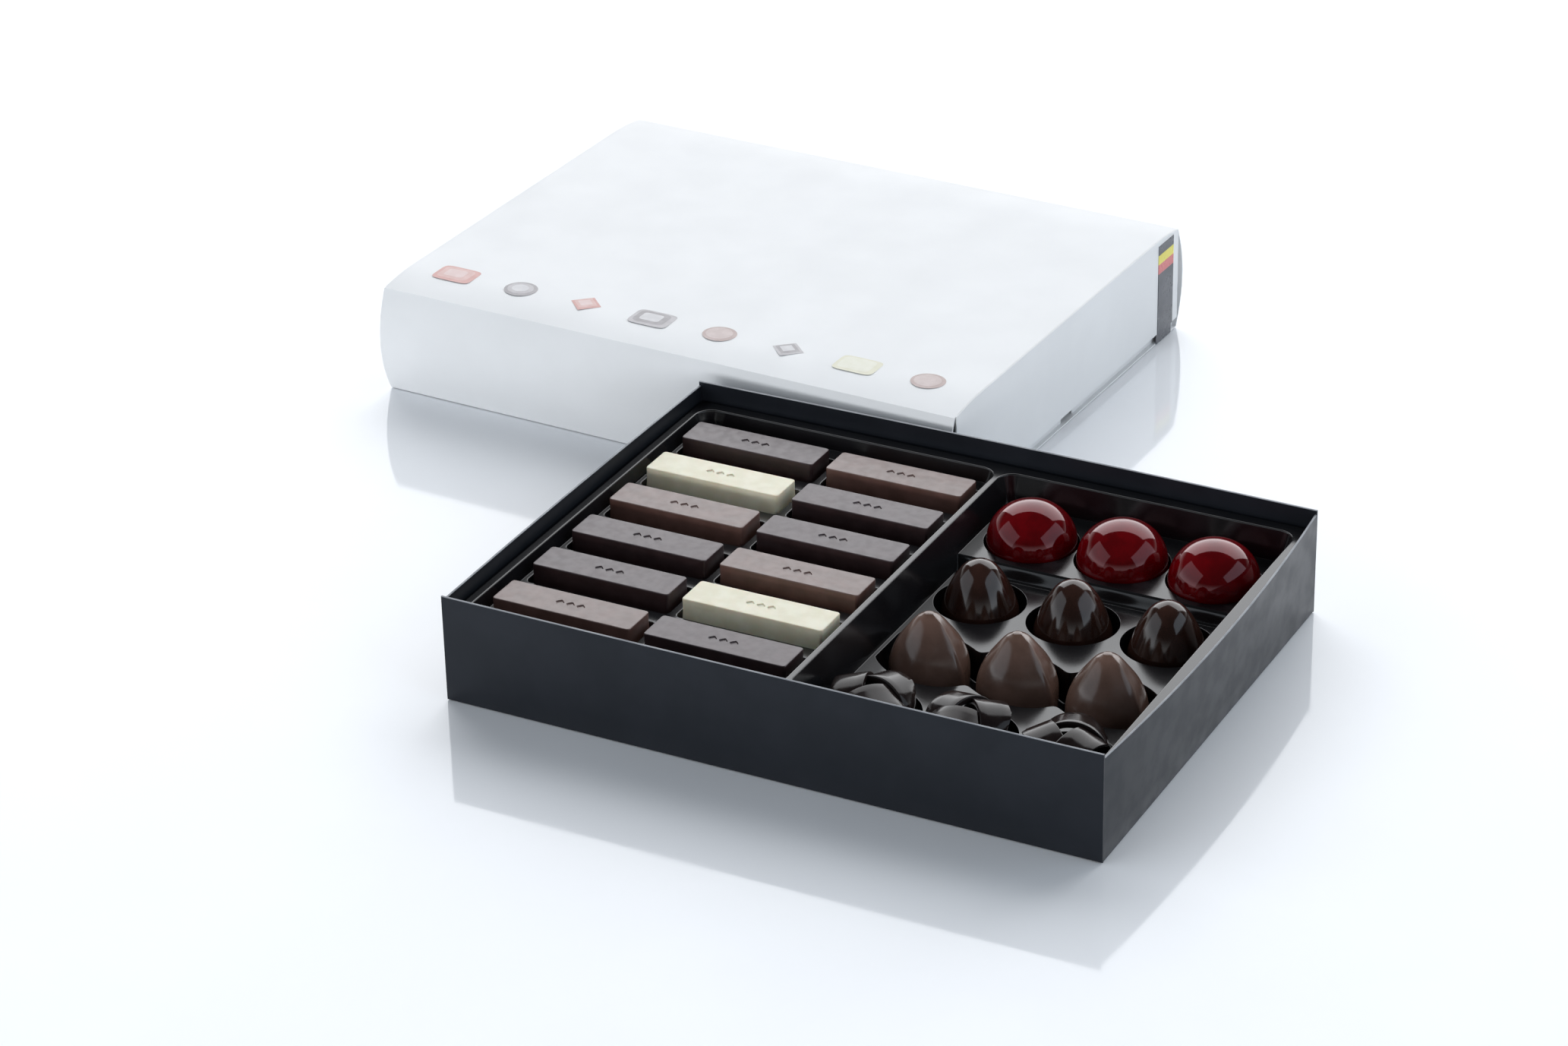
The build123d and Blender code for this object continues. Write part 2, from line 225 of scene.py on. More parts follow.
@dataclass
class Painter:
    """Makes and keeps the procedural materials."""

    patch_edges: Flat = (0.35, 0.68)
    patch_detail: float = 4.0
    smear_edges: Flat = (0.3, 0.7)
    smear_share: float = 0.45
    smear_detail: float = 3.0
    grain_detail: float = 3.0
    wave_detail: float = 1.0
    made: dict[str, bpy.types.Material] = field(default_factory=dict)

    def material(self, finish: Finish,
                 paint: Callable[[Graph, Value], Value] | None = None) -> bpy.types.Material:
        """Material of a finish.

        Args:
            finish: The finish.
            paint: Optional function that lays a pattern over the base colour.

        Returns:
            The material, made once for each finish.
        """
        if finish.name in self.made:
            return self.made[finish.name]
        made = bpy.data.materials.new(finish.name)
        made.use_nodes = True
        graph = Graph(made.node_tree)
        place = graph.node("ShaderNodeTexCoord").outputs["Object"]
        patches = self.noise(graph, place, finish.patch, self.patch_detail)
        colour = patches.ramp(*self.patch_edges).mix(finish.colour, finish.worn)
        if paint is not None:
            colour = paint(graph, colour)
        smears = self.noise(graph, place, finish.patch * self.smear_share, self.smear_detail)
        shader = graph.node("ShaderNodeBsdfPrincipled", {
            "Base Color": colour,
            "Roughness": smears.ramp(*self.smear_edges).spread(finish.rough_low, finish.rough_high),
            "Normal": self.relief(graph, place, finish),
            "Specular IOR Level": finish.specular,
            "Specular Tint": finish.tint,
            "Subsurface Weight": finish.subsurface,
            "Subsurface Scale": finish.subsurface_scale,
        })
        graph.node("ShaderNodeOutputMaterial", {"Surface": shader.outputs[0]})
        self.made[finish.name] = made
        return made

    def noise(self, graph: Graph, place: bpy.types.NodeSocket, size: float, detail: float) -> Value:
        """Noise with features of a size.

        Args:
            graph: The node tree.
            place: Coordinates.
            size: Feature size in millimetres.
            detail: Octaves.

        Returns:
            The noise, from zero to one.
        """
        inputs = {"Vector": place, "Scale": 1.0 / (size * MM), "Detail": detail}
        return Value(graph, graph.node("ShaderNodeTexNoise", inputs).outputs[0])

    def relief(self, graph: Graph, place: bpy.types.NodeSocket, finish: Finish) -> bpy.types.NodeSocket:
        """Fine grain, and broad waves where the finish has them.

        Args:
            graph: The node tree.
            place: Coordinates.
            finish: The finish.

        Returns:
            The normal's socket.
        """
        height = self.noise(graph, place, finish.grain, self.grain_detail) * finish.relief
        if finish.wave:
            waves = self.noise(graph, place, finish.wave_size, self.wave_detail)
            height = height + waves * finish.wave
        bump = graph.node("ShaderNodeBump", {"Height": height, "Distance": MM, "Strength": 1.0})
        return bump.outputs[0]


# Outlines, in millimetres, counter-clockwise

def circle(centre: Flat, radius: float, count: int = 96) -> Outline:
    """Circle as a closed outline.

    Args:
        centre: Its centre.
        radius: Its radius.
        count: Number of points.

    Returns:
        The outline.
    """
    return ellipse(centre, radius, radius, 0.0, count)


def ellipse(centre: Flat, long: float, short: float, turn: float, count: int = 120) -> Outline:
    """Turned ellipse as a closed outline.

    Args:
        centre: Its centre.
        long: Half of its length.
        short: Half of its width.
        turn: Turn in degrees.
        count: Number of points.

    Returns:
        The outline.
    """
    c, s = math.cos(math.radians(turn)), math.sin(math.radians(turn))
    points = []
    for i in range(count):
        angle = math.tau * i / count
        x, y = long * math.cos(angle), short * math.sin(angle)
        points.append((centre[0] + c * x - s * y, centre[1] + s * x + c * y))
    return points


def rounded_box(low: Flat, high: Flat, radius: float, corner_steps: int = 8,
                stops: Sequence[float] = (), side_steps: int = 1) -> Outline:
    """Rounded rectangle as a closed outline.

    Args:
        low: Lowest corner.
        high: Highest corner.
        radius: Corner radius.
        corner_steps: Steps in each corner.
        stops: Y values at which the left and right sides get a point.
        side_steps: Steps along the front and back sides.

    Returns:
        The outline.
    """
    centres = ((high[0] - radius, low[1] + radius), (high[0] - radius, high[1] - radius),
               (low[0] + radius, high[1] - radius), (low[0] + radius, low[1] + radius))
    inner = sorted(y for y in stops if low[1] + radius < y < high[1] - radius)
    points: Outline = []
    for number, (cx, cy) in enumerate(centres):
        for step in range(corner_steps + 1):
            angle = math.radians(90 * (number - 1) + 90 * step / corner_steps)
            points.append((cx + radius * math.cos(angle), cy + radius * math.sin(angle)))
        if number == 0:
            points += [(high[0], y) for y in inner]
        if number == 2:
            points += [(low[0], y) for y in reversed(inner)]
        if number in (1, 3):
            start, end = centres[number], centres[(number + 1) % 4]
            y = high[1] if number == 1 else low[1]
            shares = [step / side_steps for step in range(1, side_steps)]
            points += [(start[0] + (end[0] - start[0]) * share, y) for share in shares]
    return points


def normals(outline: Outline) -> Outline:
    """Outward unit normals of a closed outline.

    Args:
        outline: The outline.

    Returns:
        One normal for each point.
    """
    found = []
    for i, (x, y) in enumerate(outline):
        before, after = outline[i - 1], outline[(i + 1) % len(outline)]
        first = Vector((y - before[1], before[0] - x)).normalized()
        second = Vector((after[1] - y, x - after[0])).normalized()
        middle = (first + second).normalized()
        scale = 1 / max(middle.dot(first), 0.5)
        found.append((middle.x * scale, middle.y * scale))
    return found


def swell(outline: Outline, amount: float) -> Outline:
    """Outline moved outward, or inward for a negative amount.

    Args:
        outline: The outline.
        amount: Distance.

    Returns:
        The moved outline.
    """
    moved = zip(outline, normals(outline))
    return [(x + nx * amount, y + ny * amount) for (x, y), (nx, ny) in moved]


def inside(point: Flat, outline: Outline) -> bool:
    """Whether a point is inside a closed outline.

    Args:
        point: The point.
        outline: The outline.

    Returns:
        True if it is inside.
    """
    x, y = point
    found = False
    for i, (x1, y1) in enumerate(outline):
        x0, y0 = outline[i - 1]
        if (y0 > y) != (y1 > y) and x < (x1 - x0) * (y - y0) / (y1 - y0) + x0:
            found = not found
    return found


def joined(outlines: Sequence[Outline], smooth: int, count: int = 260) -> Outline:
    """Union of outlines that overlap their neighbours in a row along X.

    Args:
        outlines: The outlines, from left to right.
        smooth: Rounds of smoothing for the cusps.
        count: Number of points.

    Returns:
        One closed outline.
    """
    middle = sum(p[1] for o in outlines for p in o) / sum(len(o) for o in outlines)
    lower: Outline = []
    upper: Outline = []
    for number, outline in enumerate(outlines):
        others = [o for n, o in enumerate(outlines) if abs(n - number) == 1]
        centre = sum(p[0] for p in outline) / len(outline)
        points = [p for p in outline if not any(inside(p, other) for other in others)]
        points.sort(key=lambda p: math.atan2(p[1] - middle, p[0] - centre) % math.tau)
        below = [p for p in points if p[1] < middle or (number == 0 and p[0] < centre)]
        lower += below
        upper = [p for p in points if p not in below] + upper
    merged = lower + upper
    start = merged.index(min(merged))
    return settle(resample(merged[start:] + merged[:start], count), smooth)


def resample(outline: Outline, count: int) -> Outline:
    """Closed outline with evenly spaced points.

    Args:
        outline: The outline.
        count: Number of points.

    Returns:
        The new outline.
    """
    ring = outline + [outline[0]]
    reach = [0.0]
    for a, b in zip(ring, ring[1:]):
        reach.append(reach[-1] + math.dist(a, b))
    points = []
    part = 0
    for i in range(count):
        goal = reach[-1] * i / count
        while reach[part + 1] < goal:
            part += 1
        share = (goal - reach[part]) / max(reach[part + 1] - reach[part], 1e-9)
        a, b = ring[part], ring[part + 1]
        points.append((a[0] + (b[0] - a[0]) * share, a[1] + (b[1] - a[1]) * share))
    return points


def settle(outline: Outline, rounds: int) -> Outline:
    """Closed outline with its corners smoothed.

    Args:
        outline: The outline.
        rounds: Rounds of averaging.

    Returns:
        The smoothed outline.
    """
    points = outline
    for _ in range(rounds):
        points = [((points[i - 1][0] + 2 * p[0] + points[(i + 1) % len(points)][0]) / 4,
                   (points[i - 1][1] + 2 * p[1] + points[(i + 1) % len(points)][1]) / 4)
                  for i, p in enumerate(points)]
    return points


def curve_through(knots: Sequence[Flat], at: float) -> float:
    """Smooth curve through knots that rise in x.

    Args:
        knots: Points of the curve.
        at: The x to read.

    Returns:
        The y there.
    """
    if at <= knots[0][0]:
        return knots[0][1]
    if at >= knots[-1][0]:
        return knots[-1][1]
    i = next(n for n in range(len(knots) - 1) if knots[n + 1][0] >= at)
    slopes = []
    for n in (i, i + 1):
        low, high = knots[max(n - 1, 0)], knots[min(n + 1, len(knots) - 1)]
        slopes.append((high[1] - low[1]) / (high[0] - low[0]))
    width = knots[i + 1][0] - knots[i][0]
    t = (at - knots[i][0]) / width
    start, end = knots[i][1], knots[i + 1][1]
    h = (2 * t ** 3 - 3 * t ** 2 + 1, t ** 3 - 2 * t ** 2 + t, 3 * t ** 2 - 2 * t ** 3, t ** 3 - t ** 2)
    return h[0] * start + h[1] * width * slopes[0] + h[2] * end + h[3] * width * slopes[1]


# Meshes

class Shell:
    """Gathers faces in millimetres and makes one mesh object."""

    def __init__(self, name: str) -> None:
        self.name = name
        self.points: Row = []
        self.faces: list[tuple[int, ...]] = []
        self.paints: list[int] = []

    def grid(self, rows: Sequence[Row], closed: bool = True, paint: int = 0) -> None:
        """Faces between rows of points.

        Args:
            rows: Rows of equal length.
            closed: Whether each row is a ring.
            paint: Material number.
        """
        start = len(self.points)
        count = len(rows[0])
        for row in rows:
            self.points += row
        across = count if closed else count - 1
        for i in range(len(rows) - 1):
            for j in range(across):
                a, b = start + i * count + j, start + i * count + (j + 1) % count
                self.faces.append((a, b, b + count, a + count))
                self.paints.append(paint)

    def fill(self, outline: Row, holes: Sequence[Row] = (), up: bool = True, paint: int = 0) -> None:
        """Flat face with holes.

        Args:
            outline: Its edge.
            holes: Edges of its holes.
            up: Whether it faces upward.
            paint: Material number.
        """
        loops = [outline, *holes]
        points = [p for loop in loops for p in loop]
        flat = [Vector(p) for p in points]
        self.patch(points, flat, self.cut(loops) if holes else tessellate_polygon([flat]), up, paint)

    def patch(self, points: Row, flat: Sequence[Vector], triples: Iterable[Sequence[int]], up: bool,
              paint: int = 0) -> None:
        """Triangles over points, all turned the same way.

        Args:
            points: The points.
            flat: The same points, laid into the XY plane.
            triples: The triangles, as numbers of points.
            up: Whether they turn counter-clockwise in that plane.
            paint: Material number.
        """
        start = len(self.points)
        self.points += points
        for a, b, c in triples:
            turned = (flat[b] - flat[a]).cross(flat[c] - flat[a]).z > 0
            self.faces.append(tuple(start + n for n in ((a, b, c) if turned == up else (a, c, b))))
            self.paints.append(paint)

    def solid(self, rings: Sequence[Row]) -> None:
        """Rings from bottom to top, closed at both ends.

        Args:
            rings: The rings.
        """
        self.grid(rings)
        self.fill(rings[0], up=False)
        self.fill(rings[-1])

    def cut(self, loops: Sequence[Row]) -> list[tuple[int, ...]]:
        """Triangles inside the first loop and outside the others.

        Args:
            loops: The edge, then the edges of the holes, all at one level.

        Returns:
            The triangles, as numbers of the loops' points in order.
        """
        points: list[Vector] = []
        edges: list[tuple[int, int]] = []
        for loop in loops:
            first, count = len(points), len(loop)
            points += [Vector(p[:2]) for p in loop]
            edges += [(first + i, first + (i + 1) % count) for i in range(count)]
        holes = [[tuple(p[:2]) for p in loop] for loop in loops[1:]]
        found = delaunay_2d_cdt(points, edges, [], 1, 1e-5)
        places, triangles, origins = found[0], found[2], found[3]
        kept = []
        for triple in triangles:
            middle = sum((places[n] for n in triple), Vector((0.0, 0.0))) / 3
            if not any(inside(tuple(middle), hole) for hole in holes):
                kept.append(tuple(origins[n][0] for n in triple))
        return kept

    def build(self, materials: Sequence[bpy.types.Material], sharp: float = 40.0,
              move: Matrix | None = None) -> bpy.types.Object:
        """The mesh object.

        Args:
            materials: Materials by number.
            sharp: Edges sharper than this many degrees stay sharp.
            move: Optional move of the points, in millimetres.

        Returns:
            The object, in the scene.
        """
        points = [Vector(p) for p in self.points]
        if move is not None:
            points = [move @ p for p in points]
        mesh = bpy.data.meshes.new(self.name)
        mesh.from_pydata([p * MM for p in points], [], self.faces)
        mesh.polygons.foreach_set("material_index", self.paints)
        mesh.polygons.foreach_set("use_smooth", [True] * len(mesh.polygons))
        for material in materials:
            mesh.materials.append(material)
        mesh.set_sharp_from_angle(angle=math.radians(sharp))
        made = bpy.data.objects.new(self.name, mesh)
        bpy.context.scene.collection.objects.link(made)
        return made


def quarter(steps: int) -> list[float]:
    """Angles from zero to a quarter turn.

    Args:
        steps: Number of steps between them.

    Returns:
        The angles, in radians.
    """
    return [math.pi / 2 * step / steps for step in range(steps + 1)]


def lift(outline: Outline, level: float) -> Row:
    """Outline at a level.

    Args:
        outline: The outline.
        level: Its height.

    Returns:
        The row of points.
    """
    return [(x, y, level) for x, y in outline]


def swept(outline: Outline, profile: Callable[[float], Sequence[Flat]]) -> list[Row]:
    """Rows of a profile that changes with y, swept around an outline.

    Args:
        outline: The outline.
        profile: Gives pairs of outward distance and level for a y.

    Returns:
        The rows.
    """
    columns = [[(x + nx * away, y + ny * away, level) for away, level in profile(y)]
               for (x, y), (nx, ny) in zip(outline, normals(outline))]
    return [list(row) for row in zip(*columns)]


def ring_rows(outline: Outline, profile: Sequence[Flat]) -> list[Row]:
    """Rows of one profile swept around an outline.

    Args:
        outline: The outline.
        profile: Pairs of outward distance and level.

    Returns:
        The rows.
    """
    return swept(outline, lambda y: profile)


def well_profile(top: float, floor: float, taper: float, lip: float, bed: float,
                 steps: int = 6) -> list[Flat]:
    """Profile of a well from the platform down to its floor.

    Args:
        top: Level of the platform.
        floor: Level of the floor.
        taper: How much narrower the floor is.
        lip: Radius of the upper edge.
        bed: Radius of the lower edge.
        steps: Steps in each rounding.

    Returns:
        Pairs of outward distance and level.
    """
    land = 0.05
    belly = 0.6
    angles = quarter(steps)
    profile = [(lip + land, top)]
    profile += [(lip - lip * math.sin(angle), top - lip + lip * math.cos(angle)) for angle in angles]
    profile.append((-taper * belly, (top + floor) / 2))
    profile += [(-taper - bed + bed * math.cos(angle), floor + bed - bed * math.sin(angle))
                for angle in angles]
    profile.append((-taper - bed - land, floor))
    return profile


def hand_over(made: bpy.types.Object, node: str, body: str) -> bpy.types.Object:
    """Puts a visual piece in its node's place.

    Args:
        made: The piece.
        node: The CAD node that it stands for.
        body: The body that it moves with.

    Returns:
        The piece.
    """
    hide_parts(node)
    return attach(made, body)


# Finishes

def printed(name: str, colour: Colour, worn: Colour) -> Finish:
    """Finish of a printed shape.

    Args:
        name: Its tone.
        colour: Its colour.
        worn: Its colour in patches.

    Returns:
        The finish.
    """
    return Finish(f"{name} print", colour, worn, 0.42, 0.5, patch=3.0, relief=0.004, specular=0.2)


class Look(Enum):
    """Every finish of the object."""

    CARD = Finish("black card", (0.0085, 0.0096, 0.0126), (0.011, 0.0122, 0.016), 0.30, 0.38,
                  patch=18.0, grain=0.35, relief=0.004, wave=0.03, wave_size=30.0, specular=0.3,
                  tint=(0.84, 0.91, 1.0))
    CARD_EDGE = Finish("card edge", (0.32, 0.33, 0.35), (0.22, 0.23, 0.25), 0.55, 0.7,
                       grain=0.25, relief=0.03)
    SHEET = Finish("moulded sheet", (0.006, 0.006, 0.007), (0.009, 0.009, 0.010), 0.13, 0.19,
                   patch=30.0, grain=0.8, relief=0.001, wave=0.03, wave_size=22.0)
    DARK = Finish("dark chocolate", (0.020, 0.010, 0.010), (0.029, 0.015, 0.015), 0.30, 0.40,
                  patch=6.0, grain=0.5, relief=0.008, wave=0.02, wave_size=9.0, specular=0.54,
                  tint=(1.0, 0.93, 0.98))
    MILK = Finish("milk chocolate", (0.088, 0.042, 0.032), (0.118, 0.058, 0.046), 0.30, 0.40,
                  patch=6.0, grain=0.5, relief=0.008, wave=0.02, wave_size=9.0, specular=0.66)
    WHITE = Finish("white chocolate", (0.64, 0.60, 0.44), (0.70, 0.67, 0.52), 0.32, 0.42,
                   patch=6.0, grain=0.5, relief=0.008, wave=0.02, wave_size=9.0, subsurface=0.3)
    RED = Finish("red glaze", (0.078, 0.0003, 0.0016), (0.12, 0.0006, 0.0024), 0.04, 0.08,
                 patch=7.0, grain=0.7, relief=0.001, wave=0.015, wave_size=8.0, tint=(1.0, 0.62, 0.66))
    EGG = Finish("polished dark shell", (0.022, 0.009, 0.006), (0.034, 0.014, 0.010), 0.09, 0.14,
                 patch=7.0, grain=0.6, relief=0.002, wave=0.012, wave_size=8.0)
    DROP = Finish("polished milk shell", (0.116, 0.067, 0.050), (0.146, 0.085, 0.065), 0.17, 0.24,
                  patch=7.0, grain=0.6, relief=0.004, wave=0.015, wave_size=9.0)
    KNOT = Finish("dark ribbon", (0.012, 0.008, 0.008), (0.018, 0.012, 0.011), 0.12, 0.18,
                  patch=5.0, grain=0.7, relief=0.001, wave=0.012, wave_size=6.0, specular=0.22)
    BOARD = Finish("white board", (0.765, 0.77, 0.775), (0.79, 0.795, 0.80), 0.42, 0.50,
                   patch=30.0, grain=0.4, relief=0.004, wave=0.08, wave_size=45.0, specular=0.2)
    LABEL = Finish("label", (0.075, 0.08, 0.092), (0.09, 0.095, 0.11), 0.25, 0.35,
                   grain=0.3, relief=0.004)
    PINK_DEEP = printed("deep pink", (0.62, 0.36, 0.33), (0.66, 0.40, 0.37))
    PINK_SOFT = printed("soft pink", (0.66, 0.45, 0.42), (0.70, 0.50, 0.47))
    PINK_PALE = printed("pale pink", (0.70, 0.54, 0.52), (0.73, 0.59, 0.57))
    GREY_DEEP = printed("deep grey", (0.36, 0.34, 0.35), (0.42, 0.40, 0.41))
    GREY_SOFT = printed("soft grey", (0.48, 0.46, 0.47), (0.54, 0.52, 0.53))
    GREY_PALE = printed("pale grey", (0.60, 0.59, 0.60), (0.66, 0.65, 0.66))
    CREAM_DEEP = printed("deep cream", (0.70, 0.68, 0.54), (0.73, 0.71, 0.58))
    CREAM_SOFT = printed("soft cream", (0.74, 0.73, 0.62), (0.77, 0.76, 0.66))
    BROWN_DEEP = printed("deep brown", (0.46, 0.36, 0.34), (0.52, 0.42, 0.40))
    BROWN_SOFT = printed("soft brown", (0.56, 0.47, 0.45), (0.62, 0.53, 0.51))
    FLOOR = Finish("floor", (0.88, 0.895, 0.92), (0.90, 0.915, 0.94), 0.05, 0.08,
                   patch=90.0, grain=2.0, relief=0.001)


PAINTER = Painter()


# Tray

@dataclass
class Tray:
    """Folded card tray, sizes in millimetres."""

    length: float = 216.0
    width: float = 163.0
    height: float = 35.6
    end_height: float = 34.2
    card: float = 0.7
    fold: tuple[Flat, ...] = ((-0.25, 0.0), (-0.08, 0.08), (0.0, 0.25))
    edge_round: float = 0.18
    edge_corner: float = 0.07
    outer_shares: tuple[float, ...] = (0.2, 0.4, 0.6, 0.8)
    inner_shares: tuple[float, ...] = (0.66, 0.33)
    wall_steps: int = 48
    base_inset: float = 0.25
    base_corner: float = 0.2
    bows: dict[str, float] = field(
        default_factory=lambda: {"back": 1.0, "front": 0.4, "right": 3.7, "left": 0.8})

    def wall(self, shell: Shell, span: float, height: float, bow: float, move: Matrix) -> None:
        """One wall with rounded top edges.

        Args:
            shell: The tray's shell.
            span: Length of the wall.
            height: Height of the wall.
            bow: Outward bow of its top edge.
            move: Where it stands.
        """
        t, r, corner = self.card, self.edge_round, self.edge_corner
        shoulder = height - r
        outer = [*self.fold, *((0.0, height * share) for share in self.outer_shares), (0.0, shoulder)]
        crown = [(0.0, shoulder), (-corner, height - corner), (-r, height), (r - t, height),
                 (corner - t, height - corner), (-t, shoulder)]
        inner = [(-t, shoulder), *((-t, height * share) for share in self.inner_shares), (-t, t)]
        shares = [1 - 2 * i / self.wall_steps for i in range(self.wall_steps + 1)]
        for profile, paint in ((outer, 0), (crown, 1), (inner, 0)):
            rows = []
            for away, level in profile:
                lean = bow * level / height
                row = [(share * span / 2, away + lean * (1 - share * share), level) for share in shares]
                rows.append([tuple(move @ Vector(p)) for p in row])
            shell.grid(rows, closed=False, paint=paint)
        for side in (-1, 1):
            corners = ((0.0, 0.0), (0.0, shoulder), (-t, shoulder), (-t, 0.0))
            ends = [tuple(move @ Vector((side * span / 2, away, level))) for away, level in corners]
            shell.points += ends[::side]
            last = len(shell.points)
            shell.faces.append(tuple(range(last - 4, last)))
            shell.paints.append(0)

    def build(self) -> None:
        """Makes the tray."""
        shell = Shell("tray_card")
        half_x, half_y = self.length / 2, self.width / 2
        places = {"back": (0, (0, half_y)), "front": (180, (0, -half_y)),
                  "right": (-90, (half_x, 0)), "left": (90, (-half_x, 0))}
        for name, bow in self.bows.items():
            turn, spot = places[name]
            end = name in ("right", "left")
            span = self.width - 2 * self.card if end else self.length
            height = self.end_height if end else self.height
            move = Matrix.Translation((*spot, 0)) @ Matrix.Rotation(math.radians(turn), 4, "Z")
            self.wall(shell, span, height, bow, move)
        inset = self.base_inset
        base = rounded_box((inset - half_x, inset - half_y), (half_x - inset, half_y - inset),
                           self.base_corner, 2)
        shell.fill(lift(base, 0.0), up=False)
        shell.fill(lift(base, self.card))
        made = shell.build([PAINTER.material(Look.CARD.value), PAINTER.material(Look.CARD_EDGE.value)])
        hand_over(made, "tray", "tray_body")


# Insert

@dataclass
class Insert:
    """Thermoformed sheet with two compartments, sizes in millimetres."""

    rim: float = 29.2
    foot: float = 0.7
    skirt: Flat = (106.7, 80.2)
    skirt_corner: float = 3.0
    bow: float = 3.05
    sides: tuple[float, float, float, float] = (-103.6, 2.5, 4.7, 103.8)
    depth_side: float = 75.5
    corner: float = 5.4
    lip: float = 0.5
    bed: float = 0.2
    bar_well_lip: float = 0.4
    dome_well_lip: float = 0.3
    deep_well_lip: float = 0.2
    bar_platform: float = 24.3
    bar_draft: float = 0.25
    upper: float = 19.4
    lower: float = 15.3
    praline_draft: float = 0.25
    riser: Flat = (33.0, 36.2)
    riser_margin: float = 0.4
    riser_steps: int = 10
    riser_columns: int = 8
    skirt_steps: int = 40
    skirt_break: float = 6.0
    rim_edge: tuple[Flat, ...] = ((-0.55, 0.0), (-0.5, 0.0), (-0.35, 0.04), (-0.15, 0.15), (-0.04, 0.35),
                                  (0.0, 0.5))
    well_taper: float = 0.5
    well_bed: float = 0.8

    def lip_rows(self, outline: Outline, level: Callable[[float], float], draft: float) -> list[Row]:
        """Compartment wall from the rim to the platform.

        Args:
            outline: The compartment's outline at the rim.
            level: Platform's level by y.
            draft: Narrowing for each millimetre of depth.

        Returns:
            Rows, of which the last lies on the platform.
        """
        return swept(outline, lambda y: well_profile(
            self.rim, level(y), draft * (self.rim - level(y)), self.lip, self.bed))

    def step(self, y: float) -> float:
        """Level of the praline platform.

        Args:
            y: Place from front to back.

        Returns:
            The level.
        """
        share = min(max((y - self.riser[0]) / (self.riser[1] - self.riser[0]), 0.0), 1.0)
        smooth = share * share * (3 - 2 * share)
        return self.lower + (self.upper - self.lower) * smooth

    def skirt_outline(self) -> tuple[Outline, Outline]:
        """Outlines of the skirt.

        Returns:
            The straight one at its foot and the bowed one at the rim.
        """
        half_x, half_y = self.skirt
        stops = [half_y * (2 * i / self.skirt_steps - 1) for i in range(1, self.skirt_steps)]
        foot = rounded_box((-half_x, -half_y), (half_x, half_y), self.skirt_corner, 6, stops)
        bowed = [(x + (self.bow * (1 - (y / half_y) ** 2) if x > half_x - 0.01 else 0.0), y) for x, y in foot]
        return foot, bowed

    def build(self, box: "Assortment") -> None:
        """Makes the insert.

        Args:
            box: The chocolates, whose wells it holds.
        """
        shell = Shell("insert_sheet")
        foot, bowed = self.skirt_outline()
        reach = self.riser[1] - self.riser[0] + 2 * self.riser_margin
        stops = [self.riser[0] - self.riser_margin + reach * i / self.riser_steps
                 for i in range(self.riser_steps + 1)]
        left, right = (rounded_box((low, -self.depth_side), (high, self.depth_side), self.corner, 12, at)
                       for low, high, at in ((*self.sides[:2], ()), (*self.sides[2:], stops)))
        left_rows = self.lip_rows(left, lambda y: self.bar_platform, self.bar_draft)
        right_rows = self.lip_rows(right, self.step, self.praline_draft)
        rows = ring_rows(bowed, [(away, self.rim - below) for away, below in self.rim_edge])
        shell.fill(rows[0], [left_rows[0], right_rows[0]])
        shell.grid(rows[::-1])
        shell.grid([lift(foot, self.foot), lift(foot, self.rim - self.skirt_break), rows[-1]])
        shell.grid(left_rows)
        shell.grid(right_rows)
        self.platforms(shell, left_rows[-1], right_rows[-1], box)
        made = shell.build([PAINTER.material(Look.SHEET.value)], sharp=50.0)
        hand_over(made, "insert", "insert_body")

    def platforms(self, shell: Shell, left: Row, right: Row, box: "Assortment") -> None:
        """Platforms with their wells.

        Args:
            shell: The insert's shell.
            left: Edge of the bar platform.
            right: Edge of the praline platform.
            box: The chocolates.
        """
        low, high = self.riser
        holes = self.wells(shell, box.bar_wells(), self.bar_platform, box.bar_floor, self.bar_well_lip)
        shell.fill(left, holes)
        upper_holes = self.wells(shell, box.dome_wells(), self.upper, box.dome_floor, self.dome_well_lip)
        lower_holes = self.wells(shell, box.deep_wells(), self.lower, box.deep_floor, self.deep_well_lip)
        ends = []
        for at in sorted({round(p[1], 4) for p in right if low <= p[1] <= high}):
            level = [p for p in right if abs(p[1] - at) < 0.001]
            ends.append((min(level), max(level)))
        shell.fill(self.closed([p for p in right if p[1] >= high], ends[-1]), upper_holes)
        shell.fill(self.closed([p for p in right if p[1] <= low], ends[0]), lower_holes)
        columns = self.riser_columns
        shell.grid([[tuple(Vector(a).lerp(Vector(b), i / columns)) for i in range(columns + 1)]
                    for a, b in ends], closed=False)

    def closed(self, points: Row, end: tuple[Point, Point]) -> Row:
        """Part of the platform's edge, closed along the riser.

        Args:
            points: The edge points on one side of the riser.
            end: The riser's end points.

        Returns:
            The closed edge.
        """
        centre_x, centre_y = (sum(p[axis] for p in points) / len(points) for axis in (0, 1))
        every = {(round(p[0], 4), round(p[1], 4)): p for p in (*points, *end)}
        return sorted(every.values(), key=lambda p: math.atan2(p[1] - centre_y, p[0] - centre_x))

    def wells(self, shell: Shell, outlines: Sequence[Outline], top: float, floor: float,
              lip: float) -> list[Row]:
        """Wells of a platform.

        Args:
            shell: The insert's shell.
            outlines: The wells' outlines on the platform.
            top: Level of the platform.
            floor: Level of their floors.
            lip: Radius of their upper edges.

        Returns:
            Their edges on the platform.
        """
        edges = []
        for outline in outlines:
            rows = ring_rows(outline, well_profile(top, floor, self.well_taper, lip, self.well_bed))
            shell.grid(rows)
            shell.fill(rows[-1])
            edges.append(rows[0])
        return edges


# Chocolates

class Flavour(Enum):
    """What a bar is made of."""

    DARK = (Look.DARK, "dark_chocolate")
    MILK = (Look.MILK, "milk_chocolate")
    WHITE = (Look.WHITE, "white_chocolate")


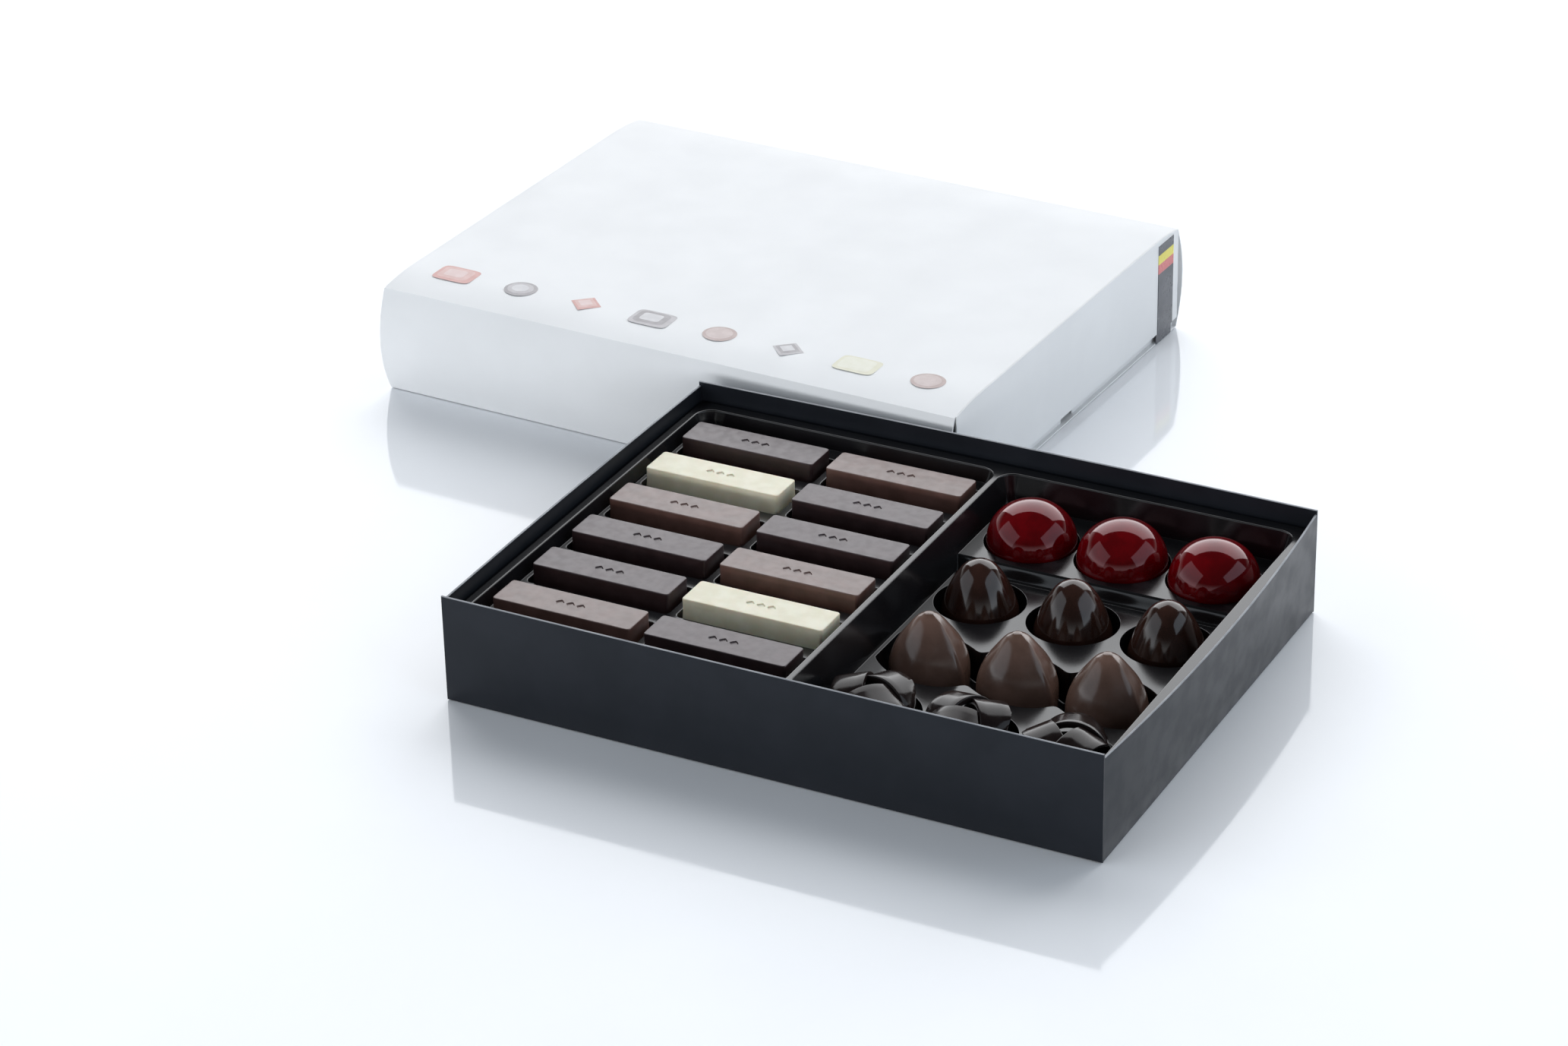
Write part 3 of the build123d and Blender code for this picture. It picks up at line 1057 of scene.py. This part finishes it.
@dataclass
class Assortment:
    """The chocolates, sizes in millimetres."""

    columns: tuple[float, ...] = (23.3, 54.4, 85.5)
    dome_columns: tuple[float, ...] = (24.3, 55.0, 85.69)
    drop_columns: tuple[float, ...] = (24.7, 53.65, 82.61)
    bar_columns: tuple[float, ...] = (-76.2, -24.1)
    rows: dict[str, float] = field(
        default_factory=lambda: {"dome": 53.5, "egg": 17.7, "drop": -20.92, "knot": -55.6})
    pitch: float = 23.87
    bar_floor: float = 14.4
    dome_floor: float = 13.4
    deep_floor: float = 5.0
    bar_well: Flat = (24.65, 8.8)
    bar_well_corner: float = 1.8
    dome_well: float = 14.9
    deep_well: float = 14.3
    drop_well: float = 18.9
    trough: Flat = (9.45, 99.1)
    trough_smooth: int = 6
    bar_top: Flat = (46.9, 12.2)
    bar_base: Flat = (47.9, 15.6)
    bar_height: float = 15.0
    bar_corner: float = 1.0
    bar_side_steps: int = 24
    bar_foot: tuple[Flat, ...] = ((0.0, -0.35), (0.1, -0.1), (0.35, 0.0))
    bar_round: Flat = (0.28, 0.32)
    bar_round_steps: int = 6
    bar_shrink: Flat = (0.03, 0.09)
    mark_pitch: float = 3.6
    mark_half: float = 1.55
    mark_depth: float = 0.35
    mark_edges: tuple[float, float, float] = (0.12, 0.1, 0.08)
    mark_points: int = 32
    dent_size: float = 0.12
    dent_depth: float = 0.05
    dent_step: float = 7.3
    bump_size: float = 0.09
    bump_depth: float = 0.18
    bump_step: float = 0.37
    bump_core: float = 4.0
    dome_foot: tuple[Flat, ...] = ((13.2, 0.0), (13.5, 0.12), (13.68, 0.4), (14.0, 2.5), (14.25, 4.5))
    dome_crown: tuple[float, float, float] = (14.4, 6.0, 13.4)
    dome_steps: int = 28
    dome_tip: float = 0.3
    egg_foot: tuple[Flat, ...] = ((12.6, 0.0), (12.95, 0.12))
    egg_knots: tuple[Flat, ...] = ((0.0, 13.1), (4.94, 12.6), (10.37, 11.5), (17.29, 8.7), (21.98, 5.6),
                                   (23.9, 3.1), (24.5, 1.4))
    egg_levels: Flat = (0.4, 24.1)
    egg_steps: int = 34
    egg_tip: tuple[Flat, ...] = ((0.7, 24.65), (0.1, 24.7))
    drop_turn: float = -22.0
    drop_height: float = 26.0
    drop_shares: tuple[float, ...] = (0.0, 0.2, 0.4, 0.62, 0.81, 0.94, 1.0)
    drop_radii: tuple[float, ...] = (12.0, 12.3, 12.05, 9.96, 6.52, 3.69, 1.3)
    drop_reach: tuple[float, ...] = (14.6, 14.9, 14.38, 11.77, 7.9, 4.71, 1.9)
    drop_foot: Flat = (0.4, 0.012)
    drop_tip: Flat = (0.8, 0.12)
    drop_steps: int = 40
    drop_side_steps: int = 6
    drop_round_steps: int = 60
    knot_shift: float = -0.5
    knot_turns: tuple[float, ...] = (58.0, 22.0, -32.0)
    knot_radius: float = 12.9
    knot_base: tuple[Flat, ...] = ((-0.4, 0.0), (-0.1, 0.1), (0.0, 0.4), (-0.25, 4.5), (-0.5, 8.6),
                                   (-0.65, 8.9), (-1.0, 9.0))
    strap_radius: float = 12.2
    strap_width: float = 10.0
    strap_thick: float = 2.0
    strap_edge: Flat = (0.35, 0.1)
    strap_spot: Flat = (4.6, 7.7)
    strap_lean: float = 14.0
    strap_swing: float = 16.0
    strap_arc: Flat = (-20.0, 220.0)
    strap_steps: int = 64
    strap_wave: Flat = (0.12, 1.7)
    strap_inset: float = 0.05
    strap_foot: float = 0.5

    def bar_spots(self) -> list[Flat]:
        """Centres of the bars, column by column.

        Returns:
            The centres.
        """
        return [(x, (2.5 - row) * self.pitch) for x in self.bar_columns for row in range(6)]

    def bar_wells(self) -> list[Outline]:
        """Outlines of the bars' wells.

        Returns:
            The outlines.
        """
        half_x, half_y = self.bar_well
        return [rounded_box((x - half_x, y - half_y), (x + half_x, y + half_y), self.bar_well_corner, 6)
                for x, y in self.bar_spots()]

    def dome_wells(self) -> list[Outline]:
        """Outlines of the domes' wells.

        Returns:
            The outlines.
        """
        return [circle((x, self.rows["dome"]), self.dome_well) for x in self.dome_columns]

    def deep_wells(self) -> list[Outline]:
        """Outlines of the wells on the lower platform.

        Returns:
            The outlines, of which the last is the teardrops' trough.
        """
        rounds = [circle((x, self.rows[row]), self.deep_well)
                  for row in ("egg", "knot") for x in self.columns]
        ovals = [ellipse((x, self.rows["drop"]), self.drop_well, self.deep_well, self.drop_turn)
                 for x in self.drop_columns]
        low, high = self.trough
        return rounds + [[(min(max(x, low), high), y) for x, y in joined(ovals, self.trough_smooth)]]

    def bar(self, number: int, flavour: Flavour) -> None:
        """One bar.

        Args:
            number: Its place in the list of bars.
            flavour: What it is made of.
        """
        x, y = self.bar_spots()[number]
        node = f"bar_{'left' if number < 6 else 'right'}_{number % 6 + 1}"
        shell = Shell(f"{node}_shape")
        h = self.bar_height
        wide, tall = self.bar_round
        side, edge = self.bar_shrink
        levels = [*self.bar_foot, *((h * share, 0.0) for share in (0.25, 0.5, 0.75))]
        rows = [self.bar_row(level / h, shrink, level) for level, shrink in levels]
        rows += [self.bar_row(1.0, wide * math.cos(angle) - side, h - tall + tall * math.sin(angle))
                 for angle in quarter(self.bar_round_steps)]
        rows.append(self.bar_row(1.0, -edge, h))
        shell.grid([[self.dented(p, number) for p in row] for row in rows])
        shell.fill(rows[0], up=False)
        shell.fill(rows[-1], self.marks(shell))
        look, slot = flavour.value
        move = Matrix.Translation((x, y, self.bar_floor))
        made = shell.build([PAINTER.material(look.value)], sharp=55.0, move=move)
        hand_over(made, node, f"{node}_body")

    def marks(self, shell: Shell) -> list[Row]:
        """Three small lozenges pressed into a bar's top.

        Args:
            shell: The bar's shell.

        Returns:
            Their edges.
        """
        h, half = self.bar_height, self.mark_half
        holes = []
        for place in (-1, 0, 1):
            x = place * self.mark_pitch
            lozenge = [(x + half, 0.0), (x, half), (x - half, 0.0), (x, -half)]
            profile = well_profile(h, h - self.mark_depth, *self.mark_edges, steps=3)
            mark = ring_rows(settle(resample(lozenge, self.mark_points), 2), profile)
            shell.grid(mark)
            shell.fill(mark[-1])
            holes.append(mark[0])
        return holes

    def bar_row(self, share: float, shrink: float, level: float) -> Row:
        """One ring of a bar.

        Args:
            share: How far up the taper it is.
            shrink: Extra width.
            level: Its height.

        Returns:
            The ring.
        """
        x, y = ((base + (top - base) * share) / 2 + shrink for base, top in zip(self.bar_base, self.bar_top))
        outline = rounded_box((-x, -y), (x, y), self.bar_corner, 5, side_steps=self.bar_side_steps)
        return lift(outline, level)

    def dented(self, point: Point, seed: int) -> Point:
        """A point moved a little, as cast chocolate is.

        Args:
            point: The point.
            seed: Number of the piece.

        Returns:
            The moved point.
        """
        p = Vector(point)
        place = p * self.dent_size + Vector((seed * self.dent_step, 0, 0))
        away = noise.noise_vector(place) * self.dent_depth
        return (p.x + away.x, p.y + away.y, p.z)

    def turned(self, name: str, profile: Sequence[Flat], spot: Flat, level: float, look: Look,
               slot: str) -> None:
        """A round praline.

        Args:
            name: Its node.
            profile: Pairs of radius and height, from foot to apex.
            spot: Its place.
            level: Level of its foot.
            look: Its finish.
            slot: Not used.
        """
        shell = Shell(f"{name}_shape")
        size, shift = self.bump_size, spot[0] * self.bump_step
        rows = []
        for radius, height in profile:
            row = []
            for x, y in circle((0, 0), radius):
                away = noise.noise(Vector((x * size + shift, y * size, height * size))) * self.bump_depth
                scale = 1 + away / max(radius, self.bump_core)
                row.append((x * scale, y * scale, height))
            rows.append(row)
        shell.solid(rows)
        move = Matrix.Translation((*spot, level))
        made = shell.build([PAINTER.material(look.value)], sharp=60.0, move=move)
        hand_over(made, name, f"{name}_body")

    def dome_profile(self) -> list[Flat]:
        """Profile of a dome.

        Returns:
            Pairs of radius and height.
        """
        radius, middle, rise = self.dome_crown
        crown = [(radius * math.cos(a), middle + rise * math.sin(a)) for a in quarter(self.dome_steps)[:-1]]
        return [*self.dome_foot, *crown, (self.dome_tip, middle + rise)]

    def egg_profile(self) -> list[Flat]:
        """Profile of an egg-shaped praline.

        Returns:
            Pairs of radius and height.
        """
        low, reach = self.egg_levels
        levels = [low + reach * i / self.egg_steps for i in range(self.egg_steps + 1)]
        side = [(curve_through(self.egg_knots, level), level) for level in levels]
        return [*self.egg_foot, *side, *self.egg_tip]

    def drop(self, number: int, x: float) -> None:
        """A teardrop praline.

        Args:
            number: Its number.
            x: Its column.
        """
        name = f"teardrop_{number}"
        shell = Shell(f"{name}_shape")
        radii, tips = (list(zip(self.drop_shares, sizes)) for sizes in (self.drop_radii, self.drop_reach))
        foot, tip = (self.drop_outline(radii[n][1], tips[n][1]) for n in (0, -1))
        rows = [lift(swell(foot, -self.drop_foot[0]), 0.0)]
        low = self.drop_foot[1]
        for angle in quarter(self.drop_steps):
            share = low + (1 - low) * math.sin(angle)
            outline = self.drop_outline(curve_through(radii, share), curve_through(tips, share))
            rows.append(lift(outline, share * self.drop_height))
        rows.append(lift(swell(tip, -self.drop_tip[0]), self.drop_height + self.drop_tip[1]))
        shell.solid(rows)
        move = self.stand(x, "drop", self.drop_turn)
        made = shell.build([PAINTER.material(Look.DROP.value)], sharp=75.0, move=move)
        hand_over(made, name, f"{name}_body")

    def stand(self, x: float, row: str, turn: float) -> Matrix:
        """Place of a piece on the floor of a deep well.

        Args:
            x: Its column.
            row: Its row.
            turn: Its turn in degrees.

        Returns:
            The matrix.
        """
        move = Matrix.Translation((x, self.rows[row], self.deep_floor))
        return move @ Matrix.Rotation(math.radians(turn), 4, "Z")

    def drop_outline(self, radius: float, tip: float) -> Outline:
        """Circle drawn out to a rounded point along X.

        Args:
            radius: The circle's radius.
            tip: Reach of the point.

        Returns:
            The outline.
        """
        reach = math.acos(min(radius / tip, 0.9999))
        x, y = radius * math.cos(reach), radius * math.sin(reach)
        shares = [i / self.drop_side_steps for i in range(1, self.drop_side_steps)]
        steps = self.drop_round_steps
        points: Outline = [(tip, 0.0)]
        points += [(tip + (x - tip) * share, y * share) for share in shares]
        points += [(radius * math.cos(angle), radius * math.sin(angle)) for angle in
                   (reach + (math.tau - 2 * reach) * i / steps for i in range(steps + 1))]
        points += [(x + (tip - x) * share, -y * (1 - share)) for share in shares]
        return settle(points, 1)

    def knot(self, number: int, x: float) -> None:
        """A knot: a round base under three straps of folded ribbon.

        Args:
            number: Its number.
            x: Its column.
        """
        name = f"knot_{number}"
        shell = Shell(f"{name}_shape")
        shell.solid(ring_rows(circle((0.0, 0.0), self.knot_radius), self.knot_base))
        for step in range(3):
            self.strap(shell, math.tau * step / 3, number * 3 + step)
        move = self.stand(x + self.knot_shift, "knot", self.knot_turns[number - 1])
        made = shell.build([PAINTER.material(Look.KNOT.value)], sharp=50.0, move=move)
        hand_over(made, name, f"{name}_body")

    def strap_section(self) -> Outline:
        """Cross-section of a strap.

        Returns:
            Pairs of place across it and radius of its arch.
        """
        half, outer, inner = self.strap_width / 2, self.strap_radius, self.strap_radius - self.strap_thick
        r, corner = self.strap_edge
        return [(-half, outer - r), (corner - half, outer - corner), (r - half, outer), (-half / 2, outer),
                (0.0, outer), (half / 2, outer), (half - r, outer), (half - corner, outer - corner),
                (half, outer - r), (half, inner + r), (half - r, inner), (0.0, inner), (r - half, inner),
                (-half, inner + r)]

    def strap(self, shell: Shell, turn: float, seed: int) -> None:
        """A strap that arches over one side of a knot.

        Args:
            shell: The knot's shell.
            turn: Its direction, in radians.
            seed: Number of its slight waviness.
        """
        away, level = self.strap_spot
        move = Matrix.Rotation(turn, 4, "Z") @ Matrix.Translation((away, 0.0, level))
        move = move @ Matrix.Rotation(math.radians(self.strap_lean), 4, "Y")
        move = move @ Matrix.Rotation(math.radians(self.strap_swing), 4, "Z")
        start, span = self.strap_arc
        depth, phase = self.strap_wave
        rows = []
        for i in range(self.strap_steps + 1):
            angle = math.radians(start + span * i / self.strap_steps)
            wave = depth * math.sin(3 * angle + seed * phase)
            ring = []
            for across, out in self.strap_section():
                reach = out + wave * (0.5 + across / self.strap_width) - depth
                p = move @ Vector((across, reach * math.cos(angle), reach * math.sin(angle)))
                limit = self.knot_radius - self.strap_inset - (self.strap_radius - out)
                shrink = min(1.0, limit / max(math.hypot(p.x, p.y), 0.001))
                ring.append((p.x * shrink, p.y * shrink, max(p.z, self.strap_foot)))
            rows.append(ring)
        shell.grid(rows[::-1])

    def build(self) -> None:
        """Makes every chocolate."""
        d, m, w = Flavour.DARK, Flavour.MILK, Flavour.WHITE
        for number, flavour in enumerate((d, w, m, d, d, m, m, d, d, m, w, d)):
            self.bar(number, flavour)
        dome, egg = self.dome_profile(), self.egg_profile()
        places = zip(self.columns, self.dome_columns, self.drop_columns)
        for number, (x, dome_x, drop_x) in enumerate(places, start=1):
            dome_spot, egg_spot = (dome_x, self.rows["dome"]), (x, self.rows["egg"])
            self.turned(f"dome_{number}", dome, dome_spot, self.dome_floor, Look.RED, "red_glaze")
            self.turned(f"egg_{number}", egg, egg_spot, self.deep_floor, Look.EGG, "dark_praline")
            self.drop(number, drop_x)
            self.knot(number, x)


# Sleeve

class Motif(Enum):
    """Printed shapes on the sleeve."""

    ROUND = 2.0
    LOZENGE = 1.0
    TILE = 6.0


class Ink(Enum):
    """Tones of a printed shape, from its edge to its middle."""

    PINK = (Look.PINK_DEEP, Look.PINK_SOFT, Look.PINK_PALE)
    GREY = (Look.GREY_DEEP, Look.GREY_SOFT, Look.GREY_PALE)
    SLATE = (Look.GREY_SOFT, Look.GREY_DEEP, Look.GREY_PALE)
    CREAM = (Look.CREAM_DEEP, Look.CREAM_SOFT, Look.CREAM_SOFT)
    BROWN = (Look.BROWN_DEEP, Look.BROWN_SOFT, Look.BROWN_SOFT)


@dataclass
class Sleeve:
    """White carton sleeve with its end flap and label, sizes in millimetres."""

    spot: Flat = (-125.1, 175.8)
    turn: float = -2.24
    width: float = 168.2
    length: float = 221.0
    crease: float = 37.8
    height: float = 39.6
    dip: float = 18.0
    bulge: float = 4.6
    card: float = 0.5
    plate_round: float = 0.12
    tube_steps: int = 30
    flat_steps: int = 24
    side_steps: int = 16
    corner_steps: int = 8
    dust_reach: float = 80.0
    dust_recess: float = 1.5
    dust_room: float = 0.05
    flap_foot: float = 4.0
    flap_inset: float = 0.6
    flap_shoulder: float = 0.2
    label_span: Flat = (67.2, 79.2)
    label_levels: Flat = (4.0, 37.6)
    tail_levels: Flat = (0.0, 3.8)
    paper: float = 0.2
    stripe_levels: tuple[float, float, float] = (27.0, 30.6, 34.1)
    red: Colour = (0.62, 0.16, 0.16)
    yellow: Colour = (0.74, 0.66, 0.10)
    print_start: Flat = (-92.0, -67.0)
    print_pitch: float = 26.2
    print_wide: float = 6.0
    tile_wide: float = 7.6
    print_deep: float = 5.4
    print_lift: Flat = (0.03, 0.02)
    spots: tuple[Flat, ...] = ((0.0, 1.0), (0.06, 0.78), (0.10, 0.50))

    def move(self) -> Matrix:
        """Where the sleeve stands.

        Returns:
            The matrix.
        """
        return Matrix.Translation((*self.spot, 0)) @ Matrix.Rotation(math.radians(self.turn), 4, "Z")

    def section(self, inset: float) -> Outline:
        """Cross-section outline.

        Args:
            inset: How far inside the outer skin.

        Returns:
            The outline as (y, z) pairs.
        """
        half, crease, top = self.width / 2 - inset, self.crease - inset, self.height - inset
        roof = half - self.dip
        flat, up, over = ([i / steps for i in range(1, steps + 1)]
                          for steps in (self.flat_steps, self.side_steps, self.corner_steps))
        floor = [(-half, inset), *((-half + 2 * half * share, inset) for share in flat)]
        side = [(half + self.bulge * 4 * share * (1 - share), inset + (crease - inset) * share)
                for share in up]
        side += [(half - self.dip * share, crease + (top - crease) * (2 * share - share * share))
                 for share in over]
        crown = [(roof - 2 * roof * share, top) for share in flat[:-1]]
        return floor + side + crown + [(-y, z) for y, z in reversed(side)]

    def build(self) -> None:
        """Makes the sleeve with its flap, label and print."""
        board = PAINTER.material(Look.BOARD.value)
        shell = Shell("sleeve_board")
        start, end = -self.length / 2, self.length / 2 - self.card
        outer, inner = self.section(0.0), self.section(self.card)
        stops = [start + (end - start) * i / self.tube_steps for i in range(self.tube_steps + 1)]
        for outline, out in ((outer, 1), (inner, -1)):
            shell.grid([[(x, y, z) for y, z in outline] for x in stops[::out]])
        for x, out in ((start, -1), (end, 1)):
            shell.grid([[(x, y, z) for y, z in outline] for outline in (outer, inner)[::out]])
        self.dust_flaps(shell, end)
        made = shell.build([board], sharp=28.0, move=self.move())
        hand_over(made, "sleeve", "sleeve_body")
        self.end_flap(board)
        self.labels()
        self.prints()

    def plate(self, shell: Shell, outline: Outline, x: float, thick: float) -> None:
        """Flat plate across the sleeve.

        Args:
            shell: The shell to add it to.
            outline: Its outline as (y, z) pairs.
            x: Its inner face.
            thick: Its thickness.
        """
        r = min(self.plate_round, thick * 0.4)
        profile = [(-r, x), (0.0, x + r), (0.0, x + thick - r), (-r, x + thick)]
        rows = [[(level, y, z) for y, z, level in row] for row in ring_rows(outline, profile)]
        shell.grid(rows)
        for row, outer in ((rows[0], False), (rows[-1], True)):
            flat = [Vector((y, z, 0.0)) for _, y, z in row]
            shell.patch(row, flat, tessellate_polygon([flat]), outer)

    def dust_flaps(self, shell: Shell, end: float) -> None:
        """Folded dust flaps behind the end flap.

        Args:
            shell: The sleeve's shell.
            end: The tube's end.
        """
        edge = self.width / 2 - self.dust_reach
        side = [(y, z) for y, z in self.section(self.dust_room) if y > edge]
        side.sort(key=lambda p: math.atan2(p[1] - self.crease / 2, p[0] - edge))
        right = [(edge, side[0][1])] + side + [(edge, side[-1][1])]
        left = [(-y, z) for y, z in reversed(right)]
        for outline in (right, left):
            self.plate(shell, outline, end - self.dust_recess - self.card, self.card)

    def end_flap(self, board: bpy.types.Material) -> None:
        """The end flap.

        Args:
            board: Its material.
        """
        half = self.width / 2 - self.flap_inset
        top = [(y, z) for y, z in self.section(0.0) if abs(y) < half and z > self.crease - 0.5]
        top.sort(key=lambda p: -p[0])
        shoulder = top[0][1] - self.flap_shoulder
        low = self.flap_foot
        outline = [(-half, low), (half, low), (half, shoulder), *top, (-half, shoulder)]
        shell = Shell("end_flap_board")
        self.plate(shell, outline, self.length / 2 - self.card, self.card)
        made = shell.build([board], move=self.move())
        hand_over(made, "end_flap", "flap_body")

    def labels(self) -> None:
        """The seal label's two parts."""
        material = PAINTER.material(Look.LABEL.value, self.stripes)
        x, (near, far) = self.length / 2, self.label_span
        for node, (low, high), start, body in (
                ("seal_label", self.label_levels, x, "flap_body"),
                ("seal_tail", self.tail_levels, x - self.card, "sleeve_body")):
            shell = Shell(f"{node}_paper")
            self.plate(shell, [(near, low), (far, low), (far, high), (near, high)], start, self.paper)
            made = shell.build([material], move=self.move())
            hand_over(made, node, body)

    def stripes(self, graph: Graph, colour: Value) -> Value:
        """Yellow and red stripes near the label's top.

        Args:
            graph: The node tree.
            colour: The base colour.

        Returns:
            The striped colour.
        """
        place = graph.node("ShaderNodeTexCoord").outputs["Object"]
        split = graph.node("ShaderNodeSeparateXYZ", {0: place})
        level = Value(graph, split.outputs[2]) / MM
        low, middle, high = self.stripe_levels
        red = level.above(low) * (level.above(middle) * -1.0 + 1.0)
        yellow = level.above(middle) * (level.above(high) * -1.0 + 1.0)
        return yellow.mix(red.mix(colour, self.red), self.yellow)

    def prints(self) -> None:
        """A row of plain printed shapes along the top's front edge, each with a lighter middle."""
        row = ((Motif.TILE, Ink.PINK), (Motif.ROUND, Ink.GREY), (Motif.LOZENGE, Ink.PINK),
               (Motif.TILE, Ink.SLATE), (Motif.ROUND, Ink.BROWN), (Motif.LOZENGE, Ink.SLATE),
               (Motif.TILE, Ink.CREAM), (Motif.ROUND, Ink.BROWN))
        lift_first, lift_step = self.print_lift
        for number, (motif, ink) in enumerate(row):
            x, y = self.print_start[0] + self.print_pitch * number, self.print_start[1]
            shell = Shell(f"print_{number + 1}")
            wide = self.tile_wide if motif is Motif.TILE else self.print_wide
            for paint, (drift, scale) in enumerate(self.spots):
                centre = (x - drift * wide, y + drift * wide)
                outline = self.rounded_shape(centre, wide * scale, self.print_deep * scale, motif.value)
                shell.fill(lift(outline, self.height + lift_first + lift_step * paint), paint=paint)
            made = shell.build([PAINTER.material(look.value) for look in ink.value], move=self.move())
            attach(made, "sleeve_body")

    def rounded_shape(self, centre: Flat, wide: float, deep: float, power: float) -> Outline:
        """Shape between a lozenge, an ellipse and a rounded tile.

        Args:
            centre: Its centre.
            wide: Half of its width.
            deep: Half of its depth.
            power: One for a lozenge, two for an ellipse, more for a tile.

        Returns:
            The outline.
        """
        points = []
        for c, s in circle((0.0, 0.0), 1.0, 64):
            scale = (abs(c) ** power + abs(s) ** power) ** (-1 / power)
            points.append((centre[0] + wide * c * scale, centre[1] + deep * s * scale))
        return points


# Studio

@dataclass(frozen=True)
class Panel:
    """A soft light: directions in degrees, sizes in metres."""

    name: str
    azimuth: float
    elevation: float
    distance: float
    size: Flat
    strength: float
    tint: Colour
    mirrored: bool = True


@dataclass
class Studio:
    """Floor, lights and camera."""

    panels: tuple[Panel, ...] = (
        Panel("back panel", 106.0, 37.0, 3.0, (4.9, 2.9), 2.38, (0.965, 0.98, 1.0)),
        Panel("right panel", 5.0, 28.0, 1.8, (2.3, 1.3), 1.05, (0.74, 0.87, 1.0)),
        Panel("left panel", -142.0, 29.0, 1.8, (2.0, 1.3), 0.9, (0.84, 0.92, 1.0)),
        Panel("front panel", -95.0, 6.0, 2.6, (4.0, 0.5), 4.3, (0.92, 0.96, 1.0), False),
    )
    aim: Point = (0.0, 0.0, 0.03)
    floor_reach: float = 4000.0
    floor_level: float = -0.3
    light_factor: float = 4.0
    horizon: Flat = (0.15, 0.4)
    horizon_colour: Colour = (0.98, 0.99, 1.0)
    sky_colour: Colour = (0.05, 0.05, 0.052)
    sky_strength: float = 1.12
    lens: float = 100.735
    sensor: float = 36.0
    near: float = 0.05
    camera_spot: Point = (0.524778, -1.050397, 0.661800)
    camera_turns: tuple[tuple[float, str], ...] = ((28.0389, "Z"), (62.3348, "X"), (-1.3373, "Z"))

    def build(self) -> None:
        """Makes the studio."""
        self.floor()
        for panel in self.panels:
            self.light(panel)
        self.world()
        self.camera()
        bpy.context.scene.view_settings.view_transform = "Standard"

    def floor(self) -> None:
        """Plain pale floor."""
        shell = Shell("floor")
        reach = self.floor_reach
        corners = [(-reach, -reach), (reach, -reach), (reach, reach), (-reach, reach)]
        shell.fill(lift(corners, self.floor_level))
        shell.build([PAINTER.material(Look.FLOOR.value)])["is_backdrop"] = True

    def light(self, panel: Panel) -> None:
        """One soft light.

        Args:
            panel: Its direction, size and strength.
        """
        data = bpy.data.lights.new(panel.name, "AREA")
        data.shape = "RECTANGLE"
        data.size, data.size_y = panel.size
        data.energy = self.light_factor * panel.strength * panel.size[0] * panel.size[1]
        data.color = panel.tint
        made = bpy.data.objects.new(panel.name, data)
        azimuth, elevation = math.radians(panel.azimuth), math.radians(panel.elevation)
        flat = math.cos(elevation)
        away = Vector((math.cos(azimuth) * flat, math.sin(azimuth) * flat, math.sin(elevation)))
        away *= panel.distance
        turn = away.to_track_quat("Z", "Y").to_matrix().to_4x4()
        made.matrix_world = Matrix.Translation(away + Vector(self.aim)) @ turn
        made.visible_camera = False
        made.visible_glossy = panel.mirrored
        bpy.context.scene.collection.objects.link(made)

    def world(self) -> None:
        """Surroundings that are pale at the horizon and dim above."""
        world = bpy.data.worlds.new("surroundings")
        bpy.context.scene.world = world
        world.use_nodes = True
        graph = Graph(world.node_tree)
        place = graph.node("ShaderNodeTexCoord").outputs["Generated"]
        split = graph.node("ShaderNodeSeparateXYZ", {0: place})
        height = Value(graph, split.outputs[2]).ramp(*self.horizon)
        colour = height.mix(self.horizon_colour, self.sky_colour)
        shade = graph.node("ShaderNodeBackground", {"Color": colour, "Strength": self.sky_strength})
        graph.node("ShaderNodeOutputWorld", {"Surface": shade.outputs[0]})

    def camera(self) -> None:
        """Camera at the photo's viewing angle."""
        data = bpy.data.cameras.new("camera")
        data.sensor_width = self.sensor
        data.sensor_fit = "HORIZONTAL"
        data.lens = self.lens
        data.clip_start = self.near
        made = bpy.data.objects.new("camera", data)
        move = Matrix.Translation(self.camera_spot)
        for degrees, axis in self.camera_turns:
            move = move @ Matrix.Rotation(math.radians(degrees), 4, axis)
        made.matrix_world = move
        bpy.context.scene.collection.objects.link(made)
        bpy.context.scene.camera = made


def plain(bounds: object) -> object:
    """Bounds as plain lists.


    Returns:
        The same numbers in lists and dictionaries.
    """
    if isinstance(bounds, dict):
        return {key: plain(value) for key, value in bounds.items()}
    if isinstance(bounds, (list, tuple, Vector)):
        return [plain(value) for value in bounds]
    return bounds


def main() -> None:
    """Builds the scene."""
    logging.basicConfig(level=logging.INFO)
    noise.seed_set(SEED)
    before = plain(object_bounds())
    Tray().build()
    box = Assortment()
    Insert().build(box)
    box.build()
    Sleeve().build()
    Studio().build()
    after = plain(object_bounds())
    LOG.info("bounds %s and %s", before, after)


if __name__ == "__main__":
    main()
